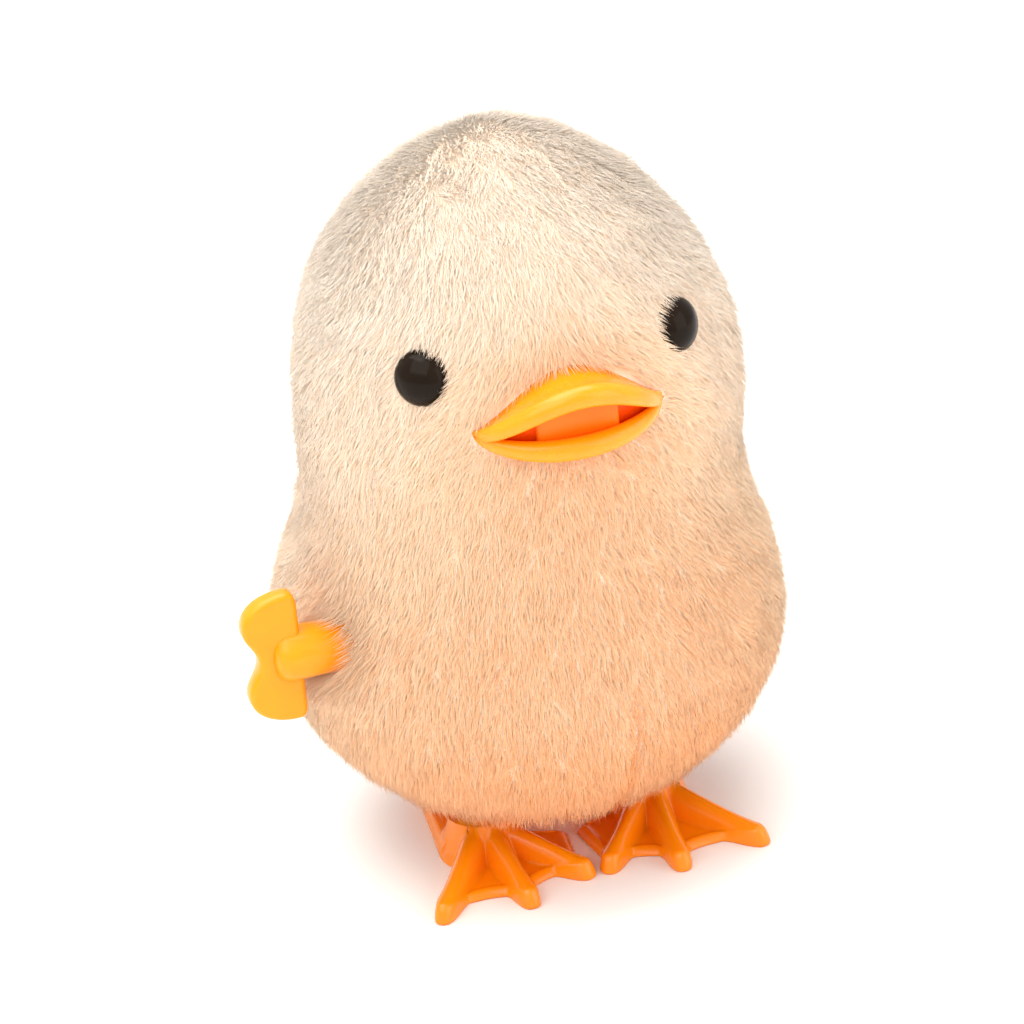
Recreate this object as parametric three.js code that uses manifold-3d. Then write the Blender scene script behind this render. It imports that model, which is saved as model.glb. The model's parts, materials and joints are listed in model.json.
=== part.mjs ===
// A wind-up hopping chick: a plush cover over a plastic body shell, with a clockwork
// movement inside that kicks two webbed feet.
// Millimetres, +Z up. The chick faces -Y, its own left is +X, and its key is on -X.
// The origin is under the middle of the whole toy, on the surface it stands on.
import * as THREE from "three";
import { mergeVertices } from "three/addons/utils/BufferGeometryUtils.js";
import Module from "manifold-3d";

const wasm = await Module();
wasm.setup();

// ---- driving dimensions ----------------------------------------------------------------

// plush cover, as radii about the body axis at heights above the ground
const totalHeight = 103;
const depthRatio = 0.97; // front-to-back size of the cover over its width
const bodyRadius = 35;
const bodyRadiusHeight = 30;
const neckRadius = 29.9;
const neckHeight = 55;
const headRadius = 30.3;
const headRadiusHeight = 65;
const rimRadius = 22.5; // lower edge of the cover
const rimHeight = 9.2;
const openingRadius = 19.6; // hole in the underside, closed by the base plate
const pileAndFabric = 5; // thickness of the cover
const crownSharpness = 0.68; // 0.5 is a round crown, 1 a pointed one
const undersideRound = 2.2; // 2 is a round underside, more a fuller one

// plastic body shell and base
const clearance = 0.4; // between pieces that are fitted together
const runningGap = 0.3; // between a shaft and what it turns in
const shellWall = 1.8;
const basePlateThickness = 1.4;
const bossRadius = 3;

// winding key
const keyAxisY = -11;
const keyAxisZ = 38;
const keyStemRadius = 3.6;
const keyPlateGap = 1.9; // from the cover, where the stem comes out, to the plate
const keyPlateWidth = 7.6;
const keyStemProud = 3.9; // how far the stem's round end stands past the plate's inner edge
const keyPlateHalfHeight = 9.2;
const keyPlateThickness = 3;
const keyNotchDepth = 1.8;

// clockwork train
const toothModule = 0.7;
const wheelTeeth = 24;
const pinionTeeth = 8;
const backlash = 0.2; // added to the distance between two meshing shafts
const wheelThickness = 1.8;
const pinionLength = 2.6;
const laneStart = -1.7; // middle of the first wheel, across the movement
const laneStep = 3.5; // from one wheel to the next
const windingShaftRadius = 1.5;
const pinShaftRadius = 0.8;
const crankShaftRadius = 1;
const caseHalfWidth = 9.5;
const caseWall = 1.5;
const springWidth = 4;
const springStrip = 0.35;
const springTurns = 4;

// hopping linkage
const footAxisY = -8;
const footAxisRise = 3.4; // from the top of the base plate up to the feet's pivot rod
const footRodRadius = 1;
const crankLever = 8.5; // from the feet's pivot rod up to the crank shaft
const footSwing = 6; // degrees each way
const crankPinRadius = 0.8;
const crankDiscRadius = 3;
const crankDiscThickness = 2;
const legThickness = 2.3;
const legRim = 1.4; // material round the crank window

// feet
const ankleX = 11.9;
const ankleTop = 7.7;
const ankleRadius = 6.4;
const soleThickness = 1.5;
const toeTipRadius = 1.5;
const toeRootRadius = 2.3;
const heelReach = 12; // how far behind the body axis the heel ends
const toeTips = [
  [1.9, -20.6],
  [10.8, -24.2],
  [22.4, -22.9],
];

// face
const eyeRadius = 3.7;
const eyeDome = 3.3;
const eyeTurn = 41; // degrees each side of straight ahead
const eyeHeight = 76.6;
const eyeTilt = 12; // degrees upwards
const billHalfWidth = 12.7;
const billHeight = 70.2; // height of the mouth corners
const billCornerY = -24.4;
const upperLipReach = 9.3; // in front of the mouth corners
const upperLipRise = 5.5;
const upperLipThickness = 3.6;
const lowerLipReach = 7.4;
const lowerLipDrop = 2.2;
const lowerLipThickness = 3;
const tongueWidth = 12;

const basePlateTop = rimHeight + basePlateThickness;
const footAxisZ = basePlateTop + footAxisRise;

// ---- helpers ---------------------------------------------------------------------------

const degree = Math.PI / 180;
const toy = new THREE.Group();
const keySideCover = Math.sqrt(bodyRadius ** 2 - (keyAxisY / depthRatio) ** 2);
const keyPlateInner = keySideCover + keyPlateGap;
const keyPlateOuter = keyPlateInner + keyPlateWidth;
const keyStemEnd = keyPlateInner + keyStemProud;
toy.position.x = (keyPlateOuter - bodyRadius) / 2;

// A three.js geometry as a manifold solid.
function solidOf(geometry) {
  const bare = geometry.index ? geometry.toNonIndexed() : geometry.clone();
  bare.deleteAttribute("normal");
  bare.deleteAttribute("uv");
  const merged = mergeVertices(bare, 1e-4);
  return new wasm.Manifold(
    new wasm.Mesh({
      numProp: 3,
      vertProperties: merged.attributes.position.array,
      triVerts: new Uint32Array(merged.index.array),
    }),
  );
}

// A named mesh of a solid, hung in the toy.
function addPiece(name, solid, finish) {
  const surface = solid.getMesh();
  const geometry = new THREE.BufferGeometry();
  geometry.setAttribute("position", new THREE.BufferAttribute(surface.vertProperties, 3));
  geometry.setIndex(new THREE.BufferAttribute(surface.triVerts, 1));
  geometry.computeVertexNormals();
  const mesh = new THREE.Mesh(geometry, new THREE.MeshStandardMaterial(finish));
  mesh.name = name;
  toy.add(mesh);
}

const plushFinish = { color: 0xfbe3cd, roughness: 0.95, metalness: 0 };
const orangeFinish = { color: 0xff9d12, roughness: 0.3, metalness: 0 };
const keyFinish = { color: 0xffb719, roughness: 0.3, metalness: 0 };
const eyeFinish = { color: 0x120c0a, roughness: 0.12, metalness: 0 };
const shellFinish = { color: 0xf2ede2, roughness: 0.5, metalness: 0 };
const caseFinish = { color: 0xd9dde0, roughness: 0.45, metalness: 0 };
const gearFinish = { color: 0xf4f1e6, roughness: 0.5, metalness: 0 };
const steelFinish = { color: 0xb9bcc0, roughness: 0.35, metalness: 1 };
const springFinish = { color: 0x5b6470, roughness: 0.4, metalness: 1 };

// Turn a shape's own x, y and extrusion direction onto the toy's axes.
const alongX = new THREE.Matrix4().makeBasis(
  new THREE.Vector3(0, 1, 0),
  new THREE.Vector3(0, 0, 1),
  new THREE.Vector3(1, 0, 0),
);
const alongY = new THREE.Matrix4().makeBasis(
  new THREE.Vector3(1, 0, 0),
  new THREE.Vector3(0, 0, 1),
  new THREE.Vector3(0, -1, 0),
);
const alongZ = new THREE.Matrix4();

// An outline pushed from one place to another along an axis.
function extrude(shape, from, to, axis, curveSegments = 10) {
  const depth = Math.abs(to - from);
  const geometry = new THREE.ExtrudeGeometry(shape, { depth, bevelEnabled: false, curveSegments });
  const reversed = axis === alongY;
  geometry.translate(0, 0, reversed ? -Math.max(from, to) : Math.min(from, to));
  return solidOf(geometry.applyMatrix4(axis));
}

// A round bar between two places along an axis, at (u, v) across it.
function bar(axis, u, v, radius, from, to, sides = 14) {
  const circle = new THREE.Shape();
  circle.absarc(u, v, radius, 0, 2 * Math.PI, false);
  return extrude(circle, from, to, axis, sides / 2); // three.js doubles the segments of an arc
}

function tube(axis, u, v, radius, bore, from, to, sides = 14) {
  const margin = 1;
  const low = Math.min(from, to) - margin;
  const high = Math.max(from, to) + margin;
  return bar(axis, u, v, radius, from, to, sides).subtract(bar(axis, u, v, bore, low, high, sides));
}

function box(x0, x1, y0, y1, z0, z1) {
  const geometry = new THREE.BoxGeometry(x1 - x0, y1 - y0, z1 - z0);
  return solidOf(geometry.translate((x0 + x1) / 2, (y0 + y1) / 2, (z0 + z1) / 2));
}

// A profile of (radius, height) points turned about Z; it starts and ends on the axis.
function turned(profile, sides) {
  const points = profile.map(([radius, height]) => new THREE.Vector2(radius, height));
  return solidOf(new THREE.LatheGeometry(points, sides).rotateX(Math.PI / 2));
}

function join(solids) {
  return solids.reduce((whole, solid) => whole.add(solid));
}

function cut(solid, holes) {
  return holes.reduce((whole, hole) => whole.subtract(hole), solid);
}

// The outline round a set of circles [u, v, radius], as a stretched band would run.
function bandRound(circles, inset = 0, steps = 14) {
  const points = circles.flatMap(([u, v, radius]) =>
    Array.from({ length: steps }, (_, i) => {
      const angle = (2 * Math.PI * i) / steps;
      const reach = radius - inset;
      return new THREE.Vector2(u + reach * Math.cos(angle), v + reach * Math.sin(angle));
    }),
  );
  points.sort((a, b) => a.x - b.x || a.y - b.y);
  const turn = (o, a, b) => (a.x - o.x) * (b.y - o.y) - (a.y - o.y) * (b.x - o.x);
  const chain = (list) => {
    const kept = [];
    for (const point of list) {
      while (kept.length > 1 && turn(kept.at(-2), kept.at(-1), point) <= 1e-9) kept.pop();
      kept.push(point);
    }
    kept.pop();
    return kept;
  };
  return new THREE.Shape([...chain(points), ...chain(points.reverse())]);
}

// A skin stretched over rings of equal point counts, closed at both ends.
function loft(rings) {
  const count = rings[0].length;
  const positions = rings.flat().flatMap((p) => [p.x, p.y, p.z]);
  const indices = [];
  for (let i = 0; i + 1 < rings.length; i++) {
    for (let j = 0; j < count; j++) {
      const a = i * count + j;
      const b = i * count + ((j + 1) % count);
      indices.push(a, b, b + count, a, b + count, a + count);
    }
  }
  const last = (rings.length - 1) * count;
  for (let j = 1; j + 1 < count; j++) {
    indices.push(0, j + 1, j);
    indices.push(last, last + j, last + j + 1);
  }
  const geometry = new THREE.BufferGeometry();
  geometry.setAttribute("position", new THREE.Float32BufferAttribute(positions, 3));
  geometry.setIndex(indices);
  return solidOf(geometry);
}

// A pan-head screw on Z: the head's underside is at zero and the shank points down.
function screwSolid(shankRadius, headRadius, headHeight, length) {
  return turned(
    [
      [0, -length],
      [shankRadius, -length],
      [shankRadius, 0],
      [headRadius, 0],
      [headRadius, headHeight * 0.6],
      [headRadius * 0.7, headHeight],
      [0, headHeight],
    ],
    10,
  );
}

// ---- plush cover and body shell -----------------------------------------------------------

const blend = (from, to, share) => from + ((to - from) * (1 - Math.cos(Math.PI * share))) / 2;

// Radius of the cover at a height, before anything is taken off for its thickness.
function coverRadius(height) {
  if (height < bodyRadiusHeight) {
    const share = Math.min(1, (bodyRadiusHeight - height) / (bodyRadiusHeight - rimHeight));
    return bodyRadius - (bodyRadius - rimRadius) * Math.pow(share, undersideRound);
  }
  if (height < neckHeight) {
    const share = (height - bodyRadiusHeight) / (neckHeight - bodyRadiusHeight);
    return blend(bodyRadius, neckRadius, share);
  }
  if (height < headRadiusHeight) {
    const share = (height - neckHeight) / (headRadiusHeight - neckHeight);
    return blend(neckRadius, headRadius, share);
  }
  const share = Math.min(1, (height - headRadiusHeight) / (totalHeight - headRadiusHeight));
  return headRadius * Math.pow(1 - Math.pow(share, 2.3), crownSharpness);
}

// Radius at a height of the surface that lies a distance inside the cover.
function insetRadius(height, inwards) {
  if (height <= headRadiusHeight) return coverRadius(height) - inwards;
  const above = height - headRadiusHeight;
  const crown = totalHeight - headRadiusHeight;
  const outer = coverRadius(headRadiusHeight + (above * crown) / (crown - inwards));
  return (outer * (headRadius - inwards)) / headRadius;
}

// Points of that surface's profile, from a start height up to the crown.
function coverProfile(inwards, start, steps) {
  const crown = totalHeight - inwards;
  const heights = [start, bodyRadiusHeight, neckHeight, headRadiusHeight];
  const points = [];
  for (let i = 0; i < 3; i++) {
    for (let j = 0; j < steps; j++) {
      const height = heights[i] + ((heights[i + 1] - heights[i]) * j) / steps;
      points.push([insetRadius(height, inwards), height]);
    }
  }
  const crownSteps = 2 * steps;
  for (let j = 0; j <= crownSteps; j++) {
    const angle = (Math.PI / 2) * (j / crownSteps);
    const height = headRadiusHeight + (crown - headRadiusHeight) * Math.sin(angle);
    points.push([j === crownSteps ? 0 : insetRadius(height, inwards), height]);
  }
  return points;
}

const squeeze = (solid) => solid.scale([1, depthRatio, 1]);
const farOut = 60;
const coverSides = 40;
const shellSides = 32;
const shellBottom = basePlateTop + clearance;

function coverSolid() {
  const whole = squeeze(turned([[0, rimHeight], ...coverProfile(0, rimHeight, 3)], coverSides));
  const cavity = coverProfile(pileAndFabric, shellBottom, 2);
  const hollow = squeeze(turned([[0, shellBottom], ...cavity], shellSides));
  const mouth = bar(alongZ, 0, 0, openingRadius, rimHeight - 1, shellBottom + 1, shellSides / 2);
  return cut(whole, [hollow, mouth]);
}

function shellSolid() {
  const outside = pileAndFabric + clearance;
  const inside = outside + shellWall;
  const outer = squeeze(turned([[0, shellBottom], ...coverProfile(outside, shellBottom, 2)], shellSides));
  const lower = shellBottom - 1;
  const inner = squeeze(turned([[0, lower], ...coverProfile(inside, lower, 2)], shellSides));
  const opening = bar(alongZ, 0, 0, openingRadius, lower, shellBottom + 3, shellSides / 2);
  return { outer, wall: cut(outer, [inner, opening]) };
}

// ---- face ----------------------------------------------------------------------------------

// The bill's back lies on the body shell where the shell is widest behind it.
const billSeatRadius = headRadius - pileAndFabric - clearance;
const billBackY = -billSeatRadius * depthRatio - clearance;

// How far along the bill's width a place is turned into how full the bill is there.
const billFullness = (share) => Math.pow(Math.max(0, 1 - share * share), 0.6);

function billRings(section) {
  const count = 11;
  return Array.from({ length: count }, (_, i) => {
    const share = Math.sin((Math.PI / 2) * (-1 + (2 * i) / (count - 1)));
    const fullness = Math.max(0.03, billFullness(share));
    const x = billHalfWidth * share;
    const back = -depthRatio * Math.sqrt(billSeatRadius ** 2 - x ** 2) - clearance;
    return section(fullness, back).map(([y, z]) => new THREE.Vector3(x, y, z));
  });
}

function upperBill(grow) {
  return loft(
    billRings((fullness, seat) => {
      const nose = billCornerY - upperLipReach * fullness - grow;
      const middle = billHeight + upperLipRise * fullness;
      const half = (upperLipThickness / 2) * Math.sqrt(fullness) + grow;
      const back = seat + grow;
      return [
        [back, middle + half * 1.5],
        [nose + half * 1.6, middle + half],
        [nose + half * 0.4, middle + half * 0.7],
        [nose, middle],
        [nose + half * 0.3, middle - half * 0.7],
        [nose + half * 1.2, middle - half],
        [back, middle - half],
      ];
    }),
  );
}

function lowerBill(grow) {
  return loft(
    billRings((fullness, seat) => {
      const nose = billCornerY - lowerLipReach * fullness - grow;
      const middle = billHeight - lowerLipDrop * fullness;
      const half = (lowerLipThickness / 2) * Math.sqrt(fullness) + grow;
      const back = seat + grow;
      return [
        [back, middle + half * 0.6],
        [nose + half * 1.2, middle + half],
        [nose + half * 0.3, middle + half * 0.7],
        [nose, middle],
        [nose + half * 0.4, middle - half * 0.7],
        [back, middle - half - 1],
      ];
    }),
  );
}

// The space the whole bill takes up, from the top of the upper lip to under the lower one.
function billEnvelope(grow) {
  return loft(
    billRings((fullness, seat) => {
      const nose = billCornerY - upperLipReach * fullness - grow;
      const top = billHeight + upperLipRise * fullness + (upperLipThickness / 2) * 1.5 + grow;
      const bottom = billHeight - lowerLipDrop * fullness - lowerLipThickness / 2 - 1 - grow;
      const back = seat + grow + 1.5;
      return [
        [back, top],
        [nose, top],
        [nose, bottom],
        [back, bottom],
      ];
    }).map((ring, i, all) => {
      const outwards = i === 0 ? -grow : i === all.length - 1 ? grow : 0;
      return ring.map((p) => new THREE.Vector3(p.x + outwards, p.y, p.z));
    }),
  );
}

const billPostRadius = 2.2;
const billPostEnd = -16.5;

function billSolid() {
  const backHalf = billHalfWidth - 2.5;
  const floor = billHeight - lowerLipDrop;
  const back = box(-backHalf, backHalf, billBackY - 2, billBackY, floor, billHeight + upperLipRise);
  const tongueFront = billCornerY - lowerLipReach * 0.75;
  const tongueTop = billHeight + upperLipRise;
  const half = tongueWidth / 2;
  const tongue = box(-half, half, tongueFront, billBackY, floor, tongueTop);
  const post = bar(alongY, 0, billHeight, billPostRadius, billPostEnd, billBackY - 1, 16);
  return join([upperBill(0), lowerBill(0), back, tongue, post]);
}

// An eye with its shank, its flat back at the origin and its dome along +Z.
const eyeShankRadius = 1.3;
const eyeShankLength = 7.4;
const eyeProfile = [
  [0, -eyeShankLength],
  [eyeShankRadius, -eyeShankLength],
  [eyeShankRadius, 0],
  [eyeRadius * 0.94, 0],
  ...Array.from({ length: 6 }, (_, i) => {
    const angle = (Math.PI / 2) * (i / 6);
    return [eyeRadius * Math.cos(angle), 0.6 + (eyeDome - 0.6) * Math.sin(angle)];
  }),
  [0, eyeDome],
];

// Puts a solid made on +Z where an eye is, on the side given by its sign.
function atEye(solid, side) {
  const seat = coverRadius(eyeHeight) - pileAndFabric + 1.4;
  const turn = eyeTurn * degree;
  const place = new THREE.Matrix4()
    .makeTranslation(side * seat * Math.sin(turn), -seat * depthRatio * Math.cos(turn), eyeHeight)
    .multiply(new THREE.Matrix4().makeRotationZ(side * turn))
    .multiply(new THREE.Matrix4().makeRotationX((90 - eyeTilt) * degree));
  return solid.transform(place.toArray());
}

// ---- clockwork layout ------------------------------------------------------------------------

const pitchRadius = (teeth) => (toothModule * teeth) / 2;
const shaftDistance = pitchRadius(wheelTeeth) + pitchRadius(pinionTeeth) + backlash;
const wheelTip = pitchRadius(wheelTeeth) + toothModule;
const windingShaft = new THREE.Vector2(keyAxisY, keyAxisZ);
const crankShaft = new THREE.Vector2(footAxisY, footAxisZ + crankLever);

// The second and third shafts stand behind the line between the first and the last, so that
// each is one shaft distance from its neighbours.
const lineAcross = crankShaft.clone().sub(windingShaft);
const lineLength = lineAcross.length();
const down = lineAcross.clone().normalize();
const behind = new THREE.Vector2(-down.y, down.x);
const step = (lineLength - shaftDistance) / 2;
const offset = Math.sqrt(shaftDistance * shaftDistance - step * step);
const secondShaft = windingShaft.clone().addScaledVector(down, step).addScaledVector(behind, offset);
const thirdShaft = crankShaft.clone().addScaledVector(down, -step).addScaledVector(behind, offset);
const lane = (number) => laneStart + laneStep * number;

// Outline of a gear about a shaft, with the middle of one tooth at the given angle.
function gearShape(shaft, teeth, angle, bore) {
  const pitch = (2 * Math.PI) / teeth;
  const root = pitchRadius(teeth) - 1.2 * toothModule;
  const tip = pitchRadius(teeth) + 0.85 * toothModule;
  const rootShare = 0.25;
  const tipShare = 0.09;
  const corners = [
    [root, -rootShare],
    [tip, -tipShare],
    [tip, tipShare],
    [root, rootShare],
  ];
  const points = [];
  for (let i = 0; i < teeth; i++) {
    for (const [radius, share] of corners) {
      const around = angle + pitch * (i + share);
      const u = shaft.x + radius * Math.cos(around);
      const v = shaft.y + radius * Math.sin(around);
      points.push(new THREE.Vector2(u, v));
    }
  }
  const shape = new THREE.Shape(points);
  const hole = new THREE.Path();
  hole.absarc(shaft.x, shaft.y, bore, 0, 2 * Math.PI, true);
  shape.holes.push(hole);
  return shape;
}

const angleTo = (from, to) => Math.atan2(to.y - from.y, to.x - from.x);

function wheel(number, shaft, next, bore) {
  const middle = lane(number);
  const shape = gearShape(shaft, wheelTeeth, angleTo(shaft, next), bore);
  return extrude(shape, middle - wheelThickness / 2, middle + wheelThickness / 2, alongX, 5);
}

// A pinion has a gap, not a tooth, towards the wheel that drives it.
function pinion(number, shaft, previous, bore, from, to) {
  const halfPitch = Math.PI / pinionTeeth;
  const shape = gearShape(shaft, pinionTeeth, angleTo(shaft, previous) + halfPitch, bore);
  const middle = lane(number);
  const low = from ?? middle - pinionLength / 2;
  return extrude(shape, low, to ?? middle + pinionLength / 2, alongX, 5);
}

// ---- movement case ----------------------------------------------------------------------------

const caseScrewRadius = 0.9;
const caseScrewHead = 1.8;
const caseScrewHeadHeight = 1.2;
const screwBoss = 2.1;
const besideWheel = wheelTip + screwBoss + 0.9; // from a wheel's shaft to a screw clear of its teeth
const outFrom = (shaft, bearing, distance) =>
  new THREE.Vector2(Math.cos(bearing * degree), Math.sin(bearing * degree))
    .multiplyScalar(distance)
    .add(shaft);
const caseScrews = {
  front: outFrom(crankShaft, -174, 9.6),
  upper: outFrom(secondShaft, 39, besideWheel),
  lower: outFrom(thirdShaft, -42.5, besideWheel + 1.5),
};
const inCase = 1.6; // from a wheel's tips to the outside of the case, with its wall
const caseCircles = [
  [windingShaft.x, windingShaft.y, wheelTip + inCase],
  [secondShaft.x, secondShaft.y, wheelTip + inCase],
  [thirdShaft.x, thirdShaft.y, wheelTip + inCase],
  [footAxisY, footAxisZ, footAxisZ - shellBottom - 0.1],
  ...Object.values(caseScrews).map((place) => [place.x, place.y, screwBoss + inCase]),
];
const caseRim = 1.2;
const baseScrewX = 5.2;
const baseScrewY = 7;
const lugTop = thirdShaft.y - wheelTip - runningGap;
const pilotTop = lugTop - 1; // top of the screw hole in the lug

function caseHalf(side) {
  const plateFrom = side * (caseHalfWidth - caseWall);
  const plate = extrude(bandRound(caseCircles), plateFrom, side * caseHalfWidth, alongX);
  const rimFrom = side * (runningGap / 2);
  const rimTo = side * (caseHalfWidth - caseWall / 2);
  const ring = extrude(bandRound(caseCircles), rimFrom, rimTo, alongX);
  const room = extrude(bandRound(caseCircles, caseRim), rimFrom - side, rimTo + side, alongX);
  const bosses = Object.values(caseScrews).map((place) =>
    bar(alongX, place.x, place.y, screwBoss, rimFrom, rimTo, 8),
  );
  const lugX = [side * (baseScrewX - 2.4), side * (baseScrewX + 2.4)].sort((a, b) => a - b);
  const lug = box(...lugX, baseScrewY - 2.6, baseScrewY + 2.6, shellBottom - clearance / 2, lugTop);
  const shafts = [
    [windingShaft, windingShaftRadius],
    [secondShaft, pinShaftRadius],
    [thirdShaft, pinShaftRadius],
    [crankShaft, crankShaftRadius],
    [new THREE.Vector2(footAxisY, footAxisZ), footRodRadius],
    ...Object.values(caseScrews).map((place) => [place, caseScrewRadius]),
  ];
  const bores = shafts.map(([p, radius]) =>
    bar(alongX, p.x, p.y, radius + runningGap, -farOut, farOut, 10),
  );
  const pilotX = side * baseScrewX;
  const pilot = bar(alongZ, pilotX, baseScrewY, caseScrewRadius + runningGap, 0, pilotTop, 8);
  return cut(join([plate, ring.subtract(room), ...bosses, lug]), [...bores, pilot]);
}

// The mainspring is one strip wound round the winding shaft, held to the case at its outer end.
function mainspring() {
  const innerRadius = windingShaftRadius + 0.8;
  const outerRadius = pitchRadius(wheelTeeth) - 0.6;
  const steps = 18 * springTurns;
  const edge = (shift) =>
    Array.from({ length: steps + 1 }, (_, i) => {
      const share = i / steps;
      const radius = innerRadius + (outerRadius - innerRadius) * share + shift;
      const angle = 2 * Math.PI * springTurns * share;
      const u = windingShaft.x + radius * Math.cos(angle);
      return new THREE.Vector2(u, windingShaft.y + radius * Math.sin(angle));
    });
  const outline = [...edge(springStrip / 2), ...edge(-springStrip / 2).reverse()];
  const right = lane(0) - pinionLength / 2 - clearance;
  return extrude(new THREE.Shape(outline), right - springWidth, right, alongX);
}

// ---- hopping linkage and feet -------------------------------------------------------------------

const crankThrow = crankLever * Math.sin(footSwing * degree);
const discInner = caseHalfWidth + clearance;
const discOuter = discInner + crankDiscThickness;
const legInner = discOuter + clearance;
const legOuter = legInner + legThickness;
const windowHalfY = 2 * crankThrow + crankPinRadius + 0.35;
const windowHalfZ = crankThrow + crankPinRadius + 0.4;
const legHeadY = windowHalfY + legRim;
const legHeadZ = windowHalfZ + legRim;

function crankDisc(side) {
  const { x, y } = crankShaft;
  const disc = bar(alongX, x, y, crankDiscRadius, side * discInner, side * discOuter, 20);
  const pinFrom = side * (discOuter - 0.5);
  const pinTo = side * (legOuter + 0.4);
  const pin = bar(alongX, x, y + crankThrow, crankPinRadius, pinFrom, pinTo, 12);
  const seatDepth = crankDiscThickness - 0.7;
  const seatEnd = side * (discInner + seatDepth);
  const seat = bar(alongX, x, y, crankShaftRadius + runningGap, side * (discInner - 1), seatEnd, 14);
  return disc.add(pin).subtract(seat);
}

function leg(side) {
  const corner = 1;
  const headY = legHeadY - corner;
  const headZ = legHeadZ - corner;
  const outline = bandRound(
    [
      [crankShaft.x - headY, crankShaft.y - headZ, corner],
      [crankShaft.x + headY, crankShaft.y - headZ, corner],
      [crankShaft.x - headY, crankShaft.y + headZ, corner],
      [crankShaft.x + headY, crankShaft.y + headZ, corner],
      [footAxisY, footAxisZ, footRodRadius + 2],
      [footAxisY - 2, ankleTop - 2.5, corner],
      [footAxisY + 2, ankleTop - 2.5, corner],
    ],
    0,
    8,
  );
  const blade = extrude(outline, side * legInner, side * legOuter, alongX);
  const window = box(
    -farOut, farOut,
    crankShaft.x - windowHalfY, crankShaft.x + windowHalfY,
    crankShaft.y - windowHalfZ, crankShaft.y + windowHalfZ,
  );
  const bore = bar(alongX, footAxisY, footAxisZ, footRodRadius + runningGap, -farOut, farOut, 14);
  return cut(blade, [window, bore]);
}

// A toe runs from the ankle down to its round tip.
function toe(root, tip) {
  const line = new THREE.Vector3().subVectors(tip, root);
  const length = line.length();
  const cone = new THREE.CylinderGeometry(toeTipRadius, toeRootRadius, length, 10);
  const up = new THREE.Vector3(0, 1, 0);
  const turn = new THREE.Quaternion().setFromUnitVectors(up, line.normalize());
  cone.translate(0, length / 2, 0).applyQuaternion(turn).translate(root.x, root.y, root.z);
  const ball = new THREE.SphereGeometry(toeTipRadius * 1.02, 10, 6).translate(tip.x, tip.y, tip.z);
  return solidOf(cone).add(solidOf(ball));
}

function foot(side) {
  const ankle = new THREE.Vector3(side * ankleX, footAxisY, ankleTop - toeRootRadius);
  const hub = turned(
    [
      [0, -1],
      [ankleRadius + 0.2, -1],
      [ankleRadius, 2.5],
      [5, ankleTop - 1.2],
      [4.2, ankleTop],
      [0, ankleTop],
    ],
    18,
  ).translate([side * ankleX, footAxisY, 0]);
  const tips = toeTips.map(([x, y]) => new THREE.Vector3(side * x, y, toeTipRadius * 0.9));
  const toes = tips.map((tip) => toe(ankle, tip));
  const web = new THREE.Shape();
  const hollow = 0.84; // how far out the web's front edge stays between two toes
  web.moveTo(ankle.x, ankle.y);
  web.lineTo(tips[0].x, tips[0].y);
  for (let i = 1; i < tips.length; i++) {
    const middle = tips[i - 1].clone().add(tips[i]).multiplyScalar(0.5);
    const back = ankle.clone().lerp(middle, hollow);
    web.quadraticCurveTo(back.x, back.y, tips[i].x, tips[i].y);
  }
  web.closePath();
  const webSolid = extrude(web, 0, soleThickness, alongZ, 6);
  const heelRadius = 4.6;
  const heelBand = bandRound([
    [side * ankleX, heelReach - heelRadius, heelRadius],
    [side * ankleX, footAxisY, ankleRadius],
  ]);
  const heel = extrude(heelBand, 0, soleThickness + 0.6, alongZ);
  const below = box(-farOut, farOut, -farOut, farOut, -20, 0);
  return join([hub, ...toes, webSolid, heel, leg(side)]).subtract(below);
}

// ---- winding key -----------------------------------------------------------------------------------

function keySolid() {
  const half = keyPlateHalfHeight;
  const lobe = half * 0.52;
  const plate = new THREE.Shape();
  plate.moveTo(-keyPlateInner, half * 0.92);
  plate.quadraticCurveTo(-keyPlateInner - 0.2, half, -keyPlateInner - 1.4, half);
  const outer = -keyPlateOuter;
  plate.bezierCurveTo(outer + 2.5, half, outer, half * 0.8, outer, lobe);
  plate.quadraticCurveTo(outer, lobe * 0.5, outer + keyNotchDepth, 0);
  plate.quadraticCurveTo(outer, -lobe * 0.5, outer, -lobe);
  plate.bezierCurveTo(outer, -half * 0.8, outer + 2.5, -half, -keyPlateInner - 1.4, -half);
  plate.quadraticCurveTo(-keyPlateInner - 0.2, -half, -keyPlateInner, -half * 0.92);
  plate.closePath();
  const thin = keyPlateThickness / 2;
  const wings = extrude(plate, -thin, thin, alongY, 5).translate([0, keyAxisY, keyAxisZ]);
  const stemStart = -(caseHalfWidth + 7);
  const round = 1.6;
  const stem = turned(
    [
      [0, 0],
      [keyStemRadius, 0],
      [keyStemRadius, keyStemEnd + stemStart - round],
      [keyStemRadius - round * 0.3, keyStemEnd + stemStart - round * 0.3],
      [keyStemRadius - round, keyStemEnd + stemStart],
      [0, keyStemEnd + stemStart],
    ],
    24,
  )
    .rotate([0, -90, 0])
    .translate([stemStart, keyAxisY, keyAxisZ]);
  const socketEnd = -keyPlateInner + 2;
  const socketRadius = windingShaftRadius + runningGap;
  const socket = bar(alongX, keyAxisY, keyAxisZ, socketRadius, socketEnd, stemStart + 1, 14);
  return wings.add(stem).subtract(socket);
}

// ---- assembly ------------------------------------------------------------------------------------------

const shell = shellSolid();
const splitGap = runningGap / 2;
const frontSpace = box(-farOut, farOut, -farOut, -splitGap, 0, 2 * farOut);
const backSpace = box(-farOut, farOut, splitGap, farOut, 0, 2 * farOut);
const shellScrews = {
  shell_screw_upper: [0, 86],
  shell_screw_left: [20.5, 25],
  shell_screw_right: [-20.5, 25],
};
const shellScrewRadius = 1.1;
const shellScrewHead = 2.1;
const shellScrewSeat = 7.5; // behind the joint between the two halves
const shellScrewDepth = 6; // in front of that joint
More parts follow.
